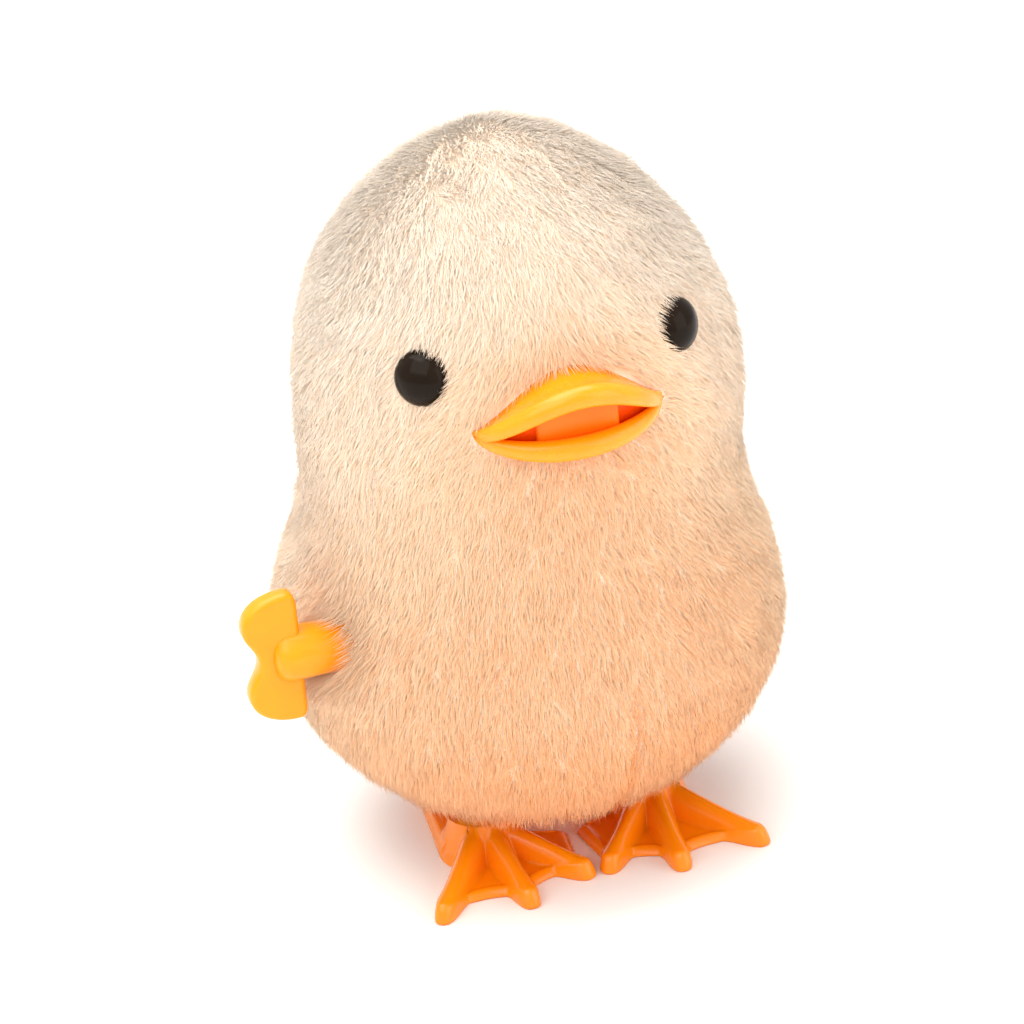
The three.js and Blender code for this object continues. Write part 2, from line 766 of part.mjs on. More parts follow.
// Shell and cover are relieved where the movement's case or its screws would come closer than
// the clearance.
function caseSpace() {
  const grown = caseCircles.map(([u, v, radius]) => [u, v, radius + clearance]);
  const relief = caseHalfWidth + clearance;
  const headRoom = relief + caseScrewHeadHeight + runningGap;
  const heads = Object.values(caseScrews).map((place) =>
    bar(alongX, place.x, place.y, caseScrewHead + clearance, -headRoom, headRoom, 12),
  );
  return join([extrude(bandRound(grown), -relief, relief, alongX), ...heads]);
}

const keyHole = (radius) => bar(alongX, keyAxisY, keyAxisZ, radius, -farOut, -caseHalfWidth - 1, 16);
const bushWall = 1.4;
const bushBore = keyStemRadius + runningGap;
const eyeBore = (radius, side) => atEye(bar(alongZ, 0, 0, radius, -10, 12, 12), side);

function shellHalf(space, isBack) {
  const bosses = Object.values(shellScrews).map(([x, z]) =>
    bar(alongY, x, z, bossRadius, -farOut, farOut, 8).intersect(shell.outer),
  );
  const shankFrom = isBack ? -1 : -shellScrewDepth - 1;
  const shankTo = isBack ? shellScrewSeat + 1 : 1;
  const shanks = Object.values(shellScrews).map(([x, z]) =>
    bar(alongY, x, z, shellScrewRadius + runningGap, shankFrom, shankTo, 8),
  );
  const heads = Object.values(shellScrews).map(([x, z]) =>
    bar(alongY, x, z, shellScrewHead + runningGap, shellScrewSeat, farOut, 8),
  );
  const holes = [keyHole(bushBore + bushWall + runningGap), caseSpace(), ...shanks];
  if (isBack) holes.push(...heads);
  if (!isBack) {
    holes.push(bar(alongY, 0, billHeight, billPostRadius + runningGap, -farOut, billPostEnd, 16));
    holes.push(eyeBore(eyeShankRadius + runningGap, 1), eyeBore(eyeShankRadius + runningGap, -1));
  }
  return cut(join([shell.wall, ...bosses]).intersect(space), holes);
}

const billGap = 0.8;
const eyeGap = 0.4;
addPiece(
  "plush_skin",
  cut(coverSolid(), [
    keyHole(keyStemRadius + 0.6),
    caseSpace(),
    billEnvelope(billGap),
    eyeBore(eyeRadius + eyeGap, 1),
    eyeBore(eyeRadius + eyeGap, -1),
  ]),
  plushFinish,
);
addPiece("shell_front", shellHalf(frontSpace, false), shellFinish);
addPiece("shell_back", shellHalf(backSpace, true), shellFinish);
for (const [name, [x, z]] of Object.entries(shellScrews)) {
  const length = shellScrewSeat + shellScrewDepth;
  const screw = screwSolid(shellScrewRadius, shellScrewHead, 1.5, length);
  addPiece(name, screw.rotate([-90, 0, 0]).translate([x, shellScrewSeat + runningGap, z]), steelFinish);
}

function basePlate() {
  const plate = bar(alongZ, 0, 0, openingRadius - clearance, rimHeight, basePlateTop, 20);
  const slotX = [legInner - 0.6, legOuter + 0.6];
  const slotY = [footAxisY - 4.6, footAxisY + 4.6];
  const slots = [box(...slotX, ...slotY, 0, 20), box(-slotX[1], -slotX[0], ...slotY, 0, 20)];
  const screwHoles = [-1, 1].map((side) =>
    bar(alongZ, side * baseScrewX, baseScrewY, caseScrewRadius + runningGap, 0, 20, 12),
  );
  return cut(plate, [...slots, ...screwHoles]);
}

addPiece("base_plate", basePlate(), orangeFinish);
addPiece("beak", billSolid(), orangeFinish);
const billWasherRadius = 4;
const shellInside = pileAndFabric + clearance + shellWall;
const billWasherWall = insetRadius(billHeight + billWasherRadius, shellInside);
const billWasherSeat = -depthRatio * Math.sqrt(billWasherWall ** 2 - billWasherRadius ** 2) + clearance;
addPiece(
  "beak_washer",
  tube(
    alongY, 0, billHeight, billWasherRadius, billPostRadius + runningGap,
    billWasherSeat, billWasherSeat + 1.2, 14,
  ),
  steelFinish,
);
for (const [name, side] of [["left", 1], ["right", -1]]) {
  addPiece("eye_" + name, atEye(turned(eyeProfile, 16), side), eyeFinish);
  const washer = tube(alongZ, 0, 0, 3, eyeShankRadius + runningGap, -6.8, -5.9, 14);
  addPiece("eye_washer_" + name, atEye(washer, side), steelFinish);
}

addPiece("winding_key", keySolid(), keyFinish);
const bushRadius = bushBore + bushWall;
const bushLength = 4.2;
// The bush stays inside the shell where the shell is narrowest across the bush.
const bushSeatRadius = Math.min(coverRadius(keyAxisZ + bushRadius), coverRadius(keyAxisZ - bushRadius));
const bushSeatY = (Math.abs(keyAxisY) + bushRadius) / depthRatio;
const bushSeatWall = bushSeatRadius - pileAndFabric - clearance;
const bushOuterEnd = clearance - Math.sqrt(bushSeatWall ** 2 - bushSeatY ** 2);
const bushInnerEnd = bushOuterEnd + bushLength;
addPiece(
  "key_bush",
  tube(alongX, keyAxisY, keyAxisZ, bushRadius, bushBore, bushOuterEnd, bushInnerEnd, 16),
  shellFinish,
);

addPiece("case_left", caseHalf(1), caseFinish);
addPiece("case_right", caseHalf(-1), caseFinish);
for (const [name, place] of Object.entries(caseScrews)) {
  const screw = screwSolid(caseScrewRadius, caseScrewHead, caseScrewHeadHeight, 2 * caseHalfWidth - 2);
  addPiece(
    "case_screw_" + name,
    screw.rotate([0, 90, 0]).translate([caseHalfWidth + runningGap, place.x, place.y]),
    steelFinish,
  );
}
for (const [name, side] of [["left", 1], ["right", -1]]) {
  const seat = rimHeight - runningGap;
  const screw = screwSolid(caseScrewRadius, 2, 0.9, pilotTop - 0.5 - seat).rotate([180, 0, 0]);
  const place = [side * baseScrewX, baseScrewY, seat];
  addPiece("base_screw_" + name, screw.translate(place), steelFinish);
}

const shaftEnd = caseHalfWidth - 0.2;
const windingShaftOuter = -keyPlateInner + 2 + clearance;
addPiece(
  "winding_arbor",
  bar(alongX, windingShaft.x, windingShaft.y, windingShaftRadius, windingShaftOuter, shaftEnd, 16),
  steelFinish,
);
addPiece("great_wheel", wheel(0, windingShaft, secondShaft, windingShaftRadius + runningGap), gearFinish);
addPiece("mainspring", mainspring(), springFinish);

const pinBore = pinShaftRadius + runningGap;
for (const [name, number, shaft, previous, next] of [
  ["second", 0, secondShaft, windingShaft, thirdShaft],
  ["third", 1, thirdShaft, secondShaft, crankShaft],
]) {
  const pinionEnd = lane(number + 1) - wheelThickness / 2 + 0.1;
  const gear = pinion(number, shaft, previous, pinBore, lane(number) - pinionLength / 2, pinionEnd);
  addPiece(name + "_gear", gear.add(wheel(number + 1, shaft, next, pinBore)), gearFinish);
  const pin = bar(alongX, shaft.x, shaft.y, pinShaftRadius, -shaftEnd, shaftEnd, 12);
  addPiece(name + "_pin", pin, steelFinish);
}
addPiece("crank_pinion", pinion(2, crankShaft, thirdShaft, crankShaftRadius + runningGap), gearFinish);
const crankShaftEnd = discInner + crankDiscThickness - 0.7 - runningGap;
addPiece(
  "crank_shaft",
  bar(alongX, crankShaft.x, crankShaft.y, crankShaftRadius, -crankShaftEnd, crankShaftEnd, 14),
  steelFinish,
);

const clipFrom = legOuter + clearance;
const clipTo = clipFrom + 0.7;
addPiece(
  "foot_pivot_rod",
  bar(alongX, footAxisY, footAxisZ, footRodRadius, -clipTo - 0.4, clipTo + 0.4, 14),
  steelFinish,
);
for (const [name, side] of [["left", 1], ["right", -1]]) {
  const bore = footRodRadius + runningGap;
  addPiece("crank_disc_" + name, crankDisc(side), gearFinish);
  const spacer = tube(
    alongX, footAxisY, footAxisZ, 2.2, bore,
    side * (caseHalfWidth + runningGap), side * (legInner - runningGap), 14,
  );
  addPiece("leg_spacer_" + name, spacer, gearFinish);
  const clip = tube(alongX, footAxisY, footAxisZ, 2.4, bore, side * clipFrom, side * clipTo, 14);
  addPiece("pivot_clip_" + name, clip, steelFinish);
  addPiece("foot_" + name, foot(side), orangeFinish);
}

export default toy;
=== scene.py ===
import json
import math
import bpy
import bmesh
import numpy as np
from mathutils import Matrix, Vector
from mathutils.bvhtree import BVHTree
from mathutils.kdtree import KDTree


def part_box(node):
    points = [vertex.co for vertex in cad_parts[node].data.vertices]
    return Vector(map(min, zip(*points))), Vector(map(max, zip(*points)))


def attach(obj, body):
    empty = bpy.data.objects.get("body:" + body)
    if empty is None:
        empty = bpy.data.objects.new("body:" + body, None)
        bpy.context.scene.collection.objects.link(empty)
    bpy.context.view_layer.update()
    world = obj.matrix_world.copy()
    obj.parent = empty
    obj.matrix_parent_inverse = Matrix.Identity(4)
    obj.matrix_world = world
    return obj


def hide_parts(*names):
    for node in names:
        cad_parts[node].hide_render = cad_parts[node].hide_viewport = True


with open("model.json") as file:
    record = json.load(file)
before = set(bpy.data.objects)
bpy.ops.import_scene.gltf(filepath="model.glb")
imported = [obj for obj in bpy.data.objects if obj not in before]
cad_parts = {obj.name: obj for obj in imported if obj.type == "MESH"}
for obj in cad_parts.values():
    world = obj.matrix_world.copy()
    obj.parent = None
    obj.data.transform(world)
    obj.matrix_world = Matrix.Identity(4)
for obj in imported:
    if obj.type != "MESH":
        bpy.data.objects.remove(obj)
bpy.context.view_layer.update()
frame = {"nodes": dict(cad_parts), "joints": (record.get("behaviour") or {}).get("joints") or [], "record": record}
cadNodes = frame["nodes"]
mm = 0.001
coverLow, coverHigh = (np.array(corner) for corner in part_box("plush_skin"))
middleX = (coverLow[0] + coverHigh[0]) / 2
print("frame loaded:", len(cadNodes), "pieces")

# camera

cameraPlace = {
    "turn": -16.1,  # degrees round the toy
    "rise": 26.0,  # degrees above the table
    "roll": -5.2,
    "distance": 0.566,
    "aimHeight": 0.05,
    "lens": 148.8,
    "shiftX": -0.0074,
    "shiftY": -0.0311,
}


def makeCamera(place):
    turn, rise, roll = (math.radians(place[key]) for key in ("turn", "rise", "roll"))
    target = Vector((middleX, 0, place["aimHeight"]))
    level = math.cos(rise)
    back = Vector((math.sin(turn) * level, -math.cos(turn) * level, math.sin(rise)))
    levelRight = Vector((math.cos(turn), math.sin(turn), 0))
    right = math.cos(roll) * levelRight + math.sin(roll) * back.cross(levelRight)
    matrix = Matrix((right, back.cross(right), back)).transposed().to_4x4()
    matrix.translation = target + place["distance"] * back
    lens = bpy.data.cameras.new("camera")
    lens.lens = place["lens"]
    lens.sensor_width = 36
    lens.shift_x = place["shiftX"]
    lens.shift_y = place["shiftY"]
    camera = bpy.data.objects.new("camera", lens)
    camera.matrix_world = matrix
    bpy.context.collection.objects.link(camera)
    bpy.context.scene.camera = camera


makeCamera(cameraPlace)

# mesh and material helpers


def addObject(name, mesh, material=None):
    obj = bpy.data.objects.new(name, mesh)
    bpy.context.collection.objects.link(obj)
    if material:
        mesh.materials.append(material)
    return obj


def meshFromFaces(name, points, faces, smooth=True):
    mesh = bpy.data.meshes.new(name)
    mesh.from_pydata([tuple(p) for p in points], [], faces)
    mesh.update()
    if smooth:
        mesh.shade_smooth()
    return mesh


# rings of equal point counts, skinned one to the next, with both ends closed if wanted
def ringFaces(ringCount, pointCount, closeEnds=True):
    faces = []
    for i in range(ringCount - 1):
        for j in range(pointCount):
            a = i * pointCount + j
            b = i * pointCount + (j + 1) % pointCount
            faces.append((a, b, b + pointCount, a + pointCount))
    if closeEnds:
        last = (ringCount - 1) * pointCount
        faces.append(tuple(reversed(range(pointCount))))
        faces.append(tuple(range(last, last + pointCount)))
    return faces


def facesOutward(mesh):
    shape = bmesh.new()
    shape.from_mesh(mesh)
    bmesh.ops.recalc_face_normals(shape, faces=shape.faces)
    shape.to_mesh(mesh)
    shape.free()
    return mesh


# profile of (radius, height) turned about Z
def turnedMesh(name, profile, sides=48):
    angles = 2 * np.pi * np.arange(sides) / sides
    rings = [[(r * math.cos(a), r * math.sin(a), h) for a in angles] for r, h in profile]
    points = [p for ring in rings for p in ring]
    mesh = meshFromFaces(name, points, ringFaces(len(rings), sides))
    return facesOutward(mesh)


def newMaterial(name):
    material = bpy.data.materials.new(name)
    material.use_nodes = True
    nodes = material.node_tree.nodes
    shader = nodes["Principled BSDF"]
    return material, nodes, material.node_tree.links, shader


# two colours mottled together, with a fine grain on the surface
def mottledMaterial(name, look):
    material, nodes, links, shader = newMaterial(name)
    place = nodes.new("ShaderNodeTexCoord").outputs["Object"]
    stretch = nodes.new("ShaderNodeMapping")
    stretch.inputs["Scale"].default_value = look.get("stretch", (1, 1, 1))
    links.new(place, stretch.inputs["Vector"])
    clouds = nodes.new("ShaderNodeTexNoise")
    clouds.inputs["Scale"].default_value = 1 / look["patch"]
    clouds.inputs["Detail"].default_value = 4
    links.new(stretch.outputs["Vector"], clouds.inputs["Vector"])
    blend = nodes.new("ShaderNodeMix")
    blend.data_type = "RGBA"
    blend.inputs["A"].default_value = (*look["deep"], 1)
    blend.inputs["B"].default_value = (*look["pale"], 1)
    links.new(clouds.outputs["Fac"], blend.inputs["Factor"])
    links.new(blend.outputs["Result"], shader.inputs["Base Color"])
    polish = nodes.new("ShaderNodeMapRange")
    polish.inputs["To Min"].default_value = look["roughness"][0]
    polish.inputs["To Max"].default_value = look["roughness"][1]
    links.new(clouds.outputs["Fac"], polish.inputs["Value"])
    links.new(polish.outputs["Result"], shader.inputs["Roughness"])
    grain = nodes.new("ShaderNodeTexNoise")
    grain.inputs["Scale"].default_value = 1 / look["grain"]
    grain.inputs["Detail"].default_value = 3
    links.new(stretch.outputs["Vector"], grain.inputs["Vector"])
    bump = nodes.new("ShaderNodeBump")
    bump.inputs["Strength"].default_value = look["bump"]
    bump.inputs["Distance"].default_value = look.get("bumpDepth", 0.00005)
    links.new(grain.outputs["Fac"], bump.inputs["Height"])
    links.new(bump.outputs["Normal"], shader.inputs["Normal"])
    for socket, value in look.get("shader", {}).items():
        shader.inputs[socket].default_value = value
    return material


# materials of the moulded and metal pieces

plasticGlow = {
    "Subsurface Weight": 0.15,
    "Subsurface Radius": (1.0, 0.35, 0.03),
    "Subsurface Scale": 1.2 * mm,
}
glossyPlastic = {**plasticGlow, "Specular IOR Level": 0.35, "Coat Weight": 0.15}

looks = {
    "orange_plastic": {
        "deep": (0.92, 0.2, 0.001),
        "pale": (0.98, 0.29, 0.002),
        "patch": 0.006,
        "roughness": (0.2, 0.3),
        "grain": 0.0004,
        "bump": 0.06,
        "shader": {**glossyPlastic, "Coat Roughness": 0.12},
    },
    "bill_plastic": {
        "deep": (1.0, 0.27, 0.002),
        "pale": (1.0, 0.35, 0.004),
        "patch": 0.005,
        "roughness": (0.22, 0.32),
        "grain": 0.0004,
        "bump": 0.05,
        "shader": {**glossyPlastic, "Coat Roughness": 0.1},
    },
    # the bill's plastic deepened for the tongue: painted shade inside the mouth
    "tongue_plastic": {
        "deep": (0.95, 0.17, 0.001),
        "pale": (0.98, 0.22, 0.002),
        "patch": 0.004,
        "roughness": (0.3, 0.4),
        "grain": 0.0004,
        "bump": 0.05,
        "shader": {**plasticGlow, "Specular IOR Level": 0.3},
    },
    # the bill's plastic darkened further for the throat: painted shade at the back of the mouth
    "mouth_plastic": {
        "deep": (0.88, 0.075, 0.0005),
        "pale": (0.92, 0.11, 0.001),
        "patch": 0.004,
        "roughness": (0.4, 0.5),
        "grain": 0.0004,
        "bump": 0.05,
        "shader": {**plasticGlow, "Specular IOR Level": 0.2},
    },
    "key_yellow": {
        "deep": (1.0, 0.28, 0.001),
        "pale": (1.0, 0.35, 0.003),
        "patch": 0.006,
        "roughness": (0.24, 0.34),
        "grain": 0.0004,
        "bump": 0.06,
        "shader": {
            **plasticGlow,
            "Specular IOR Level": 0.3,
            "Coat Weight": 0.1,
            "Coat Roughness": 0.15,
        },
    },
    "eye_black": {
        "deep": (0.006, 0.004, 0.003),
        "pale": (0.02, 0.011, 0.006),
        "patch": 0.003,
        "roughness": (0.14, 0.2),
        "grain": 0.0006,
        "bump": 0.02,
        "shader": {"Specular IOR Level": 0.09},
    },
    "shell_plastic": {
        "deep": (0.78, 0.74, 0.64),
        "pale": (0.86, 0.83, 0.74),
        "patch": 0.008,
        "roughness": (0.42, 0.55),
        "grain": 0.0005,
        "bump": 0.15,
    },
    "case_plastic": {
        "deep": (0.6, 0.62, 0.66),
        "pale": (0.7, 0.72, 0.75),
        "patch": 0.005,
        "roughness": (0.45, 0.6),
        "grain": 0.0003,
        "bump": 0.25,
    },
    "gear_plastic": {
        "deep": (0.78, 0.76, 0.68),
        "pale": (0.88, 0.86, 0.78),
        "patch": 0.003,
        "roughness": (0.35, 0.5),
        "grain": 0.0003,
        "bump": 0.12,
    },
    "steel": {
        "deep": (0.45, 0.46, 0.47),
        "pale": (0.62, 0.63, 0.64),
        "patch": 0.0012,
        "stretch": (0.08, 1, 1),
        "roughness": (0.22, 0.4),
        "grain": 0.0002,
        "bump": 0.2,
        "shader": {"Metallic": 1.0},
    },
    "spring_steel": {
        "deep": (0.06, 0.08, 0.14),
        "pale": (0.16, 0.19, 0.25),
        "patch": 0.002,
        "stretch": (0.1, 1, 1),
        "roughness": (0.28, 0.42),
        "grain": 0.0002,
        "bump": 0.15,
        "shader": {"Metallic": 1.0},
    },
}
finish = {name: mottledMaterial(name, look) for name, look in looks.items()}

for subpart in frame["record"]["subparts"]:
    if subpart["material_slot"] in finish:
        node = cadNodes[subpart["node"]]
        node.data.materials.clear()
        node.data.materials.append(finish[subpart["material_slot"]])
print("materials made:", len(finish))

# outline of the plush cover, measured outwards from a point inside it

cover = {
    "pileDepth": 1.7 * mm,  # from the tips of the pile down to its cloth
    "cheeks": 1.3 * mm,  # the head is fuller before its sides and flatter behind them
    "rump": 1.5 * mm,  # the body is fuller behind its sides
    "clothThickness": 1.6 * mm,
    "cheekHeight": 66 * mm,
    "cheekReach": 17 * mm,
    "rumpHeight": 34 * mm,
    "rumpReach": 20 * mm,
    "sides": 144,
    "steps": 110,
    "hemShare": 0.655,  # half width of the hem, as a share of the cover's own
    "cheekFrom": 0.6,  # where the cheeks start, from 0 straight ahead to 1 at a side
    "cheekSpan": 0.8,
    "rumpFrom": 0.85,  # where the rump starts, on the same scale
    "rumpSpan": 1.15,
    "eyeHollow": 1.3 * mm,
    "eyeHollowReach": 5.5 * mm,
}
coverCentre = np.array([middleX, (coverLow[1] + coverHigh[1]) / 2, coverHigh[2] / 2])
squeeze = (coverHigh[1] - coverLow[1]) / (coverHigh[0] - coverLow[0])
nearCrown = np.pi / 2 - 0.01  # the last rise short of the crown


def meshTree(node):
    mesh = node.data
    points = [v.co for v in mesh.vertices]
    return BVHTree.FromPolygons(points, [tuple(p.vertices) for p in mesh.polygons])


def measureOutline():
    tree = meshTree(cadNodes["plush_skin"])
    hemReach = cover["hemShare"] * (coverHigh[0] - middleX)
    hemAngle = math.atan2(coverLow[2] - coverCentre[2], hemReach)
    angles = np.linspace(hemAngle, math.pi / 2, 240)
    reaches = []
    for angle in angles:
        away = Vector((math.cos(angle), 0, math.sin(angle)))
        start = Vector(coverCentre) + 0.2 * away
        hit = tree.ray_cast(start, -away)
        reaches.append((hit[0] - Vector(coverCentre)).length)
    reaches = np.array(reaches)
    # the faceted outline is eased into a smooth one
    kernel = np.exp(-np.linspace(-2.2, 2.2, 23) ** 2)
    kernel /= kernel.sum()
    padded = np.concatenate([2 * reaches[0] - reaches[11:0:-1], reaches, reaches[-2:-13:-1]])
    return angles, np.convolve(padded, kernel, "valid")


outlineAngles, outlineReach = measureOutline()


# where the cover is, for arrays of turns about the body and rises above its middle
def coverPoints(turns, rises, inwards):
    reach = np.interp(rises, outlineAngles, outlineReach) - inwards
    across = reach * np.cos(rises)
    height = coverCentre[2] + reach * np.sin(rises)
    # 0 is straight ahead, 1 straight to a side and 2 straight behind
    behind = np.abs((np.mod(turns + np.pi / 2 + np.pi, 2 * np.pi)) - np.pi) / (np.pi / 2)
    cheek = np.clip((behind - cover["cheekFrom"]) / cover["cheekSpan"], 0, 1)
    swing = np.sin(np.pi * cheek * 2)
    head = np.exp(-(((height - cover["cheekHeight"]) / cover["cheekReach"]) ** 2))
    body = np.exp(-(((height - cover["rumpHeight"]) / cover["rumpReach"]) ** 2))
    rump = np.sin(np.pi * np.clip((behind - cover["rumpFrom"]) / cover["rumpSpan"], 0, 1))
    across = across + cover["cheeks"] * swing * head + cover["rump"] * rump * body
    x = coverCentre[0] + across * np.cos(turns)
    y = coverCentre[1] + across * np.sin(turns) * squeeze
    return np.stack([x, y, height], axis=-1)


# how far forward the cover reaches at a height, as a Y
def coverFront(height, inwards):
    rises = np.linspace(outlineAngles[0], nearCrown, 400)
    points = coverPoints(np.full_like(rises, -np.pi / 2), rises, inwards)
    return np.interp(height, points[:, 2], points[:, 1])


def coverNormals(turns, rises, inwards):
    step = 0.004
    ahead = coverPoints(turns + step, rises, inwards)
    alongTurn = ahead - coverPoints(turns - step, rises, inwards)
    lower = np.maximum(rises - step, outlineAngles[0])
    upper = np.minimum(rises + step, np.pi / 2 - 1e-5)
    alongRise = coverPoints(turns, upper, inwards) - coverPoints(turns, lower, inwards)
    return unit(np.cross(alongTurn, alongRise))


def unit(vectors):
    return vectors / np.maximum(np.linalg.norm(vectors, axis=-1, keepdims=True), 1e-12)


# an eye's direction and the top of its dome, from its own solid
def eyeAxis(name):
    points = np.array([v.co for v in cadNodes[name].data.vertices])
    centre = points.mean(axis=0)
    spread, directions = np.linalg.eigh(np.cov((points - centre).T))
    gaps = [abs(spread[1] - spread[2]), abs(spread[0] - spread[2]), abs(spread[0] - spread[1])]
    axis = directions[:, int(np.argmin(gaps))]
    if axis @ (centre - coverCentre) < 0:
        axis = -axis
    along = (points - centre) @ axis
    aside = np.linalg.norm(points - centre - np.outer(along, axis), axis=1)
    return centre + axis * along.max(), axis, aside.max()


eyes = {name: eyeAxis(name) for name in ("eye_left", "eye_right")}
beakLow, beakHigh = (np.array(corner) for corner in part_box("beak"))
# the point that the pile round the bill is combed away from
billMiddle = (beakLow + beakHigh) / 2
billMiddle[1] = beakHigh[1] - 12 * mm


# distance to the nearer eye, or to a point further from the bill by a shift
def eyeDistance(points, shift=0):
    tops = [top + shift * unit(top - billMiddle) for top, _, _ in eyes.values()]
    return np.min([np.linalg.norm(points - top, axis=-1) for top in tops], axis=0)


# cloth of the cover: a closed skin, open underneath for the legs
def makeCloth():
    turns = 2 * np.pi * np.arange(cover["sides"]) / cover["sides"]
    rises = np.linspace(outlineAngles[0], nearCrown, cover["steps"])
    rings = []
    for rise in rises:
        ring = coverPoints(turns, np.full_like(turns, rise), cover["pileDepth"])
        hollow = cover["eyeHollow"] * np.exp(-((eyeDistance(ring) / cover["eyeHollowReach"]) ** 2))
        rings.append(ring - hollow[:, None] * coverNormals(turns, np.full_like(turns, rise), 0))
    inside = [
        coverPoints(turns, np.full_like(turns, rise), cover["pileDepth"] + cover["clothThickness"])
        for rise in rises[::-3]
    ]
    allRings = rings + inside
    count = cover["sides"]
    points = [p for ring in allRings for p in ring]
    faces = ringFaces(len(allRings), count, closeEnds=False)
    # the crown is closed outside and in, and the hem joins the two
    crown = len(rings) - 1
    faces = [f for k, f in enumerate(faces) if k // count != crown]
    faces.append(tuple(range(crown * count, (crown + 1) * count)))
    faces.append(tuple(reversed(range((crown + 1) * count, (crown + 2) * count))))
    last = (len(allRings) - 1) * count
    for j in range(count):
        k = (j + 1) % count
        faces.append((last + j, last + k, k, j))
    return facesOutward(meshFromFaces("plush_cloth", points, faces))


# pale cream to deep orange; the deeper tones mostly stand for painted warm bounce light and shade low down, at the
# front and round the bill
furTones = [
    (1.0, 0.88, 0.75),
    (0.99, 0.79, 0.61),
    (0.98, 0.68, 0.45),
    (0.97, 0.57, 0.33),
    (0.95, 0.47, 0.23),
    (0.93, 0.38, 0.15),
]

cloth = addObject(
    "plush_cloth",
    makeCloth(),
    mottledMaterial(
        "plush_cloth",
        {
            "deep": furTones[2],
            "pale": furTones[0],
            "patch": 0.002,
            "roughness": (0.85, 0.95),
            "grain": 0.0003,
            "bump": 0.6,
            "bumpDepth": 0.0002,
            "shader": {"Sheen Weight": 0.3, "Sheen Roughness": 0.5},
        },
    ),
)
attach(cloth, "body")
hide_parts("plush_skin")
print("cloth made:", len(cloth.data.vertices), "points")

# sizes of the bill, which the pile is combed round

bill = {
    "upperReach": 9.3 * mm,
    "upperRise": 5.6 * mm,
    "upperThickness": 3.0 * mm,
    "upperPeak": 2.2,  # how sharply the upper lip arches
    "lowerReach": 7.4 * mm,
    "lowerDrop": 2.2 * mm,
    "lowerThickness": 3.0 * mm,
    "tongueWidth": 11 * mm,
    "tongueRound": 0.5 * mm,
    "tongueReach": 0.62,  # as a share of the lower lip's reach
    "throatSunk": 1.3 * mm,
    "rootAbove": 7.2 * mm,  # no pile grows this far above the corners and below them
    "rootBelow": 3.4 * mm,
    "rings": 61,
}
billHalf = (beakHigh[0] - beakLow[0]) / 2
billCornerY = beakLow[1] + bill["upperReach"]
billHeight = beakLow[2] + bill["lowerDrop"] + bill["lowerThickness"] / 2 + 1 * mm
billSeat = coverHigh[0] - middleX - 10.1 * mm

# pile

pile = {
    "strands": 150000,
    "length": 3.1 * mm,
    "rootRadius": 0.078 * mm,
    "lean": 48,  # degrees from upright at the root
    "leanTip": 68,
    "leanSpread": 7,
    "leanTipSpread": 6,
    "lengthSpread": (0.75, 1.15),
    "turnSpread": 13,  # degrees of each strand's own wander
    "tuftTurnSpread": 9,
    "tuftLeanSpread": 4,
    "tuftReach": 1.6 * mm,
    "tufts": 3600,
    "gather": 0.2,  # how far strand tips draw together in a tuft
    "rootSunk": 0.2 * mm,  # the roots start this far inside the cloth
    "keyClear": 0.25 * mm,
    "eyeClear": 3.3 * mm,
    "eyeShift": 1.0 * mm,  # the pile grows further over an eye on the side of the bill
    "softShading": 0.96,
    "seamAside": 3.2 * mm,  # a seam down the belly, to the left of the middle
    "seamTop": 34 * mm,
    "seamWidth": 0.9 * mm,
    "seamShort": 0.3,
    "forward": 0.9,  # how strongly the crown is combed forward
    "forwardFrom": 78 * mm,  # the height where that starts
    "forwardRise": 18 * mm,
    "billPull": 1.7,  # how strongly the pile is combed away from the bill
    "billPullAbove": 0.35,  # share of that pull above the bill
    "billPullReach": 20 * mm,
    "eyePull": 1.3,  # how strongly it is combed away from an eye
    "eyePullReach": 5.5 * mm,
    "eyeShort": 0.35,  # how much shorter the strands are beside an eye
    "eyeShortReach": 6 * mm,
    "collarReach": 2.4 * mm,  # the longer, upright strands round the key's stem
    "collarExtra": 0.75,
    "collarUpright": 0.8,
    "hemExtra": 0.35,  # how much longer the strands are along the hem
    "hemFrom": 15 * mm,
    "hemDrop": 6 * mm,
    "segments": 2,
    "seed": 7,
}

# how far the pile's colour goes along furTones, from 0 at the palest: a random spread about the least, with
# painted warm bounce light and shade added low on the sides and front, low on the belly and round the bill
warmthWithPaintedBounce = {
    "least": 0.1,
    "spread": 0.35,
    # painted warm bounce light and shade: deeper tones lower down, more so at the front
    "side": 1.2,
    "front": 1.9,
    "frontReach": 28 * mm,
    "sideFrom": 84 * mm,  # height where the warmer colour starts, and how far down it is full
    "sideDrop": 42 * mm,
    # painted warm bounce light from the feet, low on the belly
    "belly": 1.8,
    "bellyBounceFrom": 32 * mm,
    "bellyBounceDrop": 22 * mm,
    # painted orange bounce light from the bill, round it
    "bill": 2.3,
    "billBounceReach": 16 * mm,
}


# area of the cover from the hem up to each rise, so that strands are spread evenly
def areaTable():
    rises = np.linspace(outlineAngles[0], np.pi / 2 - 1e-4, 600)
    turns = np.zeros_like(rises)
    points = coverPoints(turns, rises, cover["pileDepth"])
    lengths = np.linalg.norm(np.diff(points, axis=0), axis=1)
    radii = (points[:-1, 0] + points[1:, 0]) / 2 - coverCentre[0]
    return rises, np.concatenate([[0], np.cumsum(2 * np.pi * radii * lengths)])


# half height of the bill's root across its width, as a share of its fullest
def billShare(points):
    across = np.clip((points[:, 0] - middleX) / billHalf, -1, 1)
    return np.power(np.maximum(0, 1 - across**2), 0.6)


# where the bill stands on the cover, so that nothing grows through it
def underBill(points):
    share = billShare(points)
    above = billHeight + bill["rootAbove"] * share**1.5
    below = billHeight - bill["rootBelow"] * share
    inside = (points[:, 2] < above) & (points[:, 2] > below) & (share > 0.05)
    return inside & (points[:, 1] < coverCentre[1])


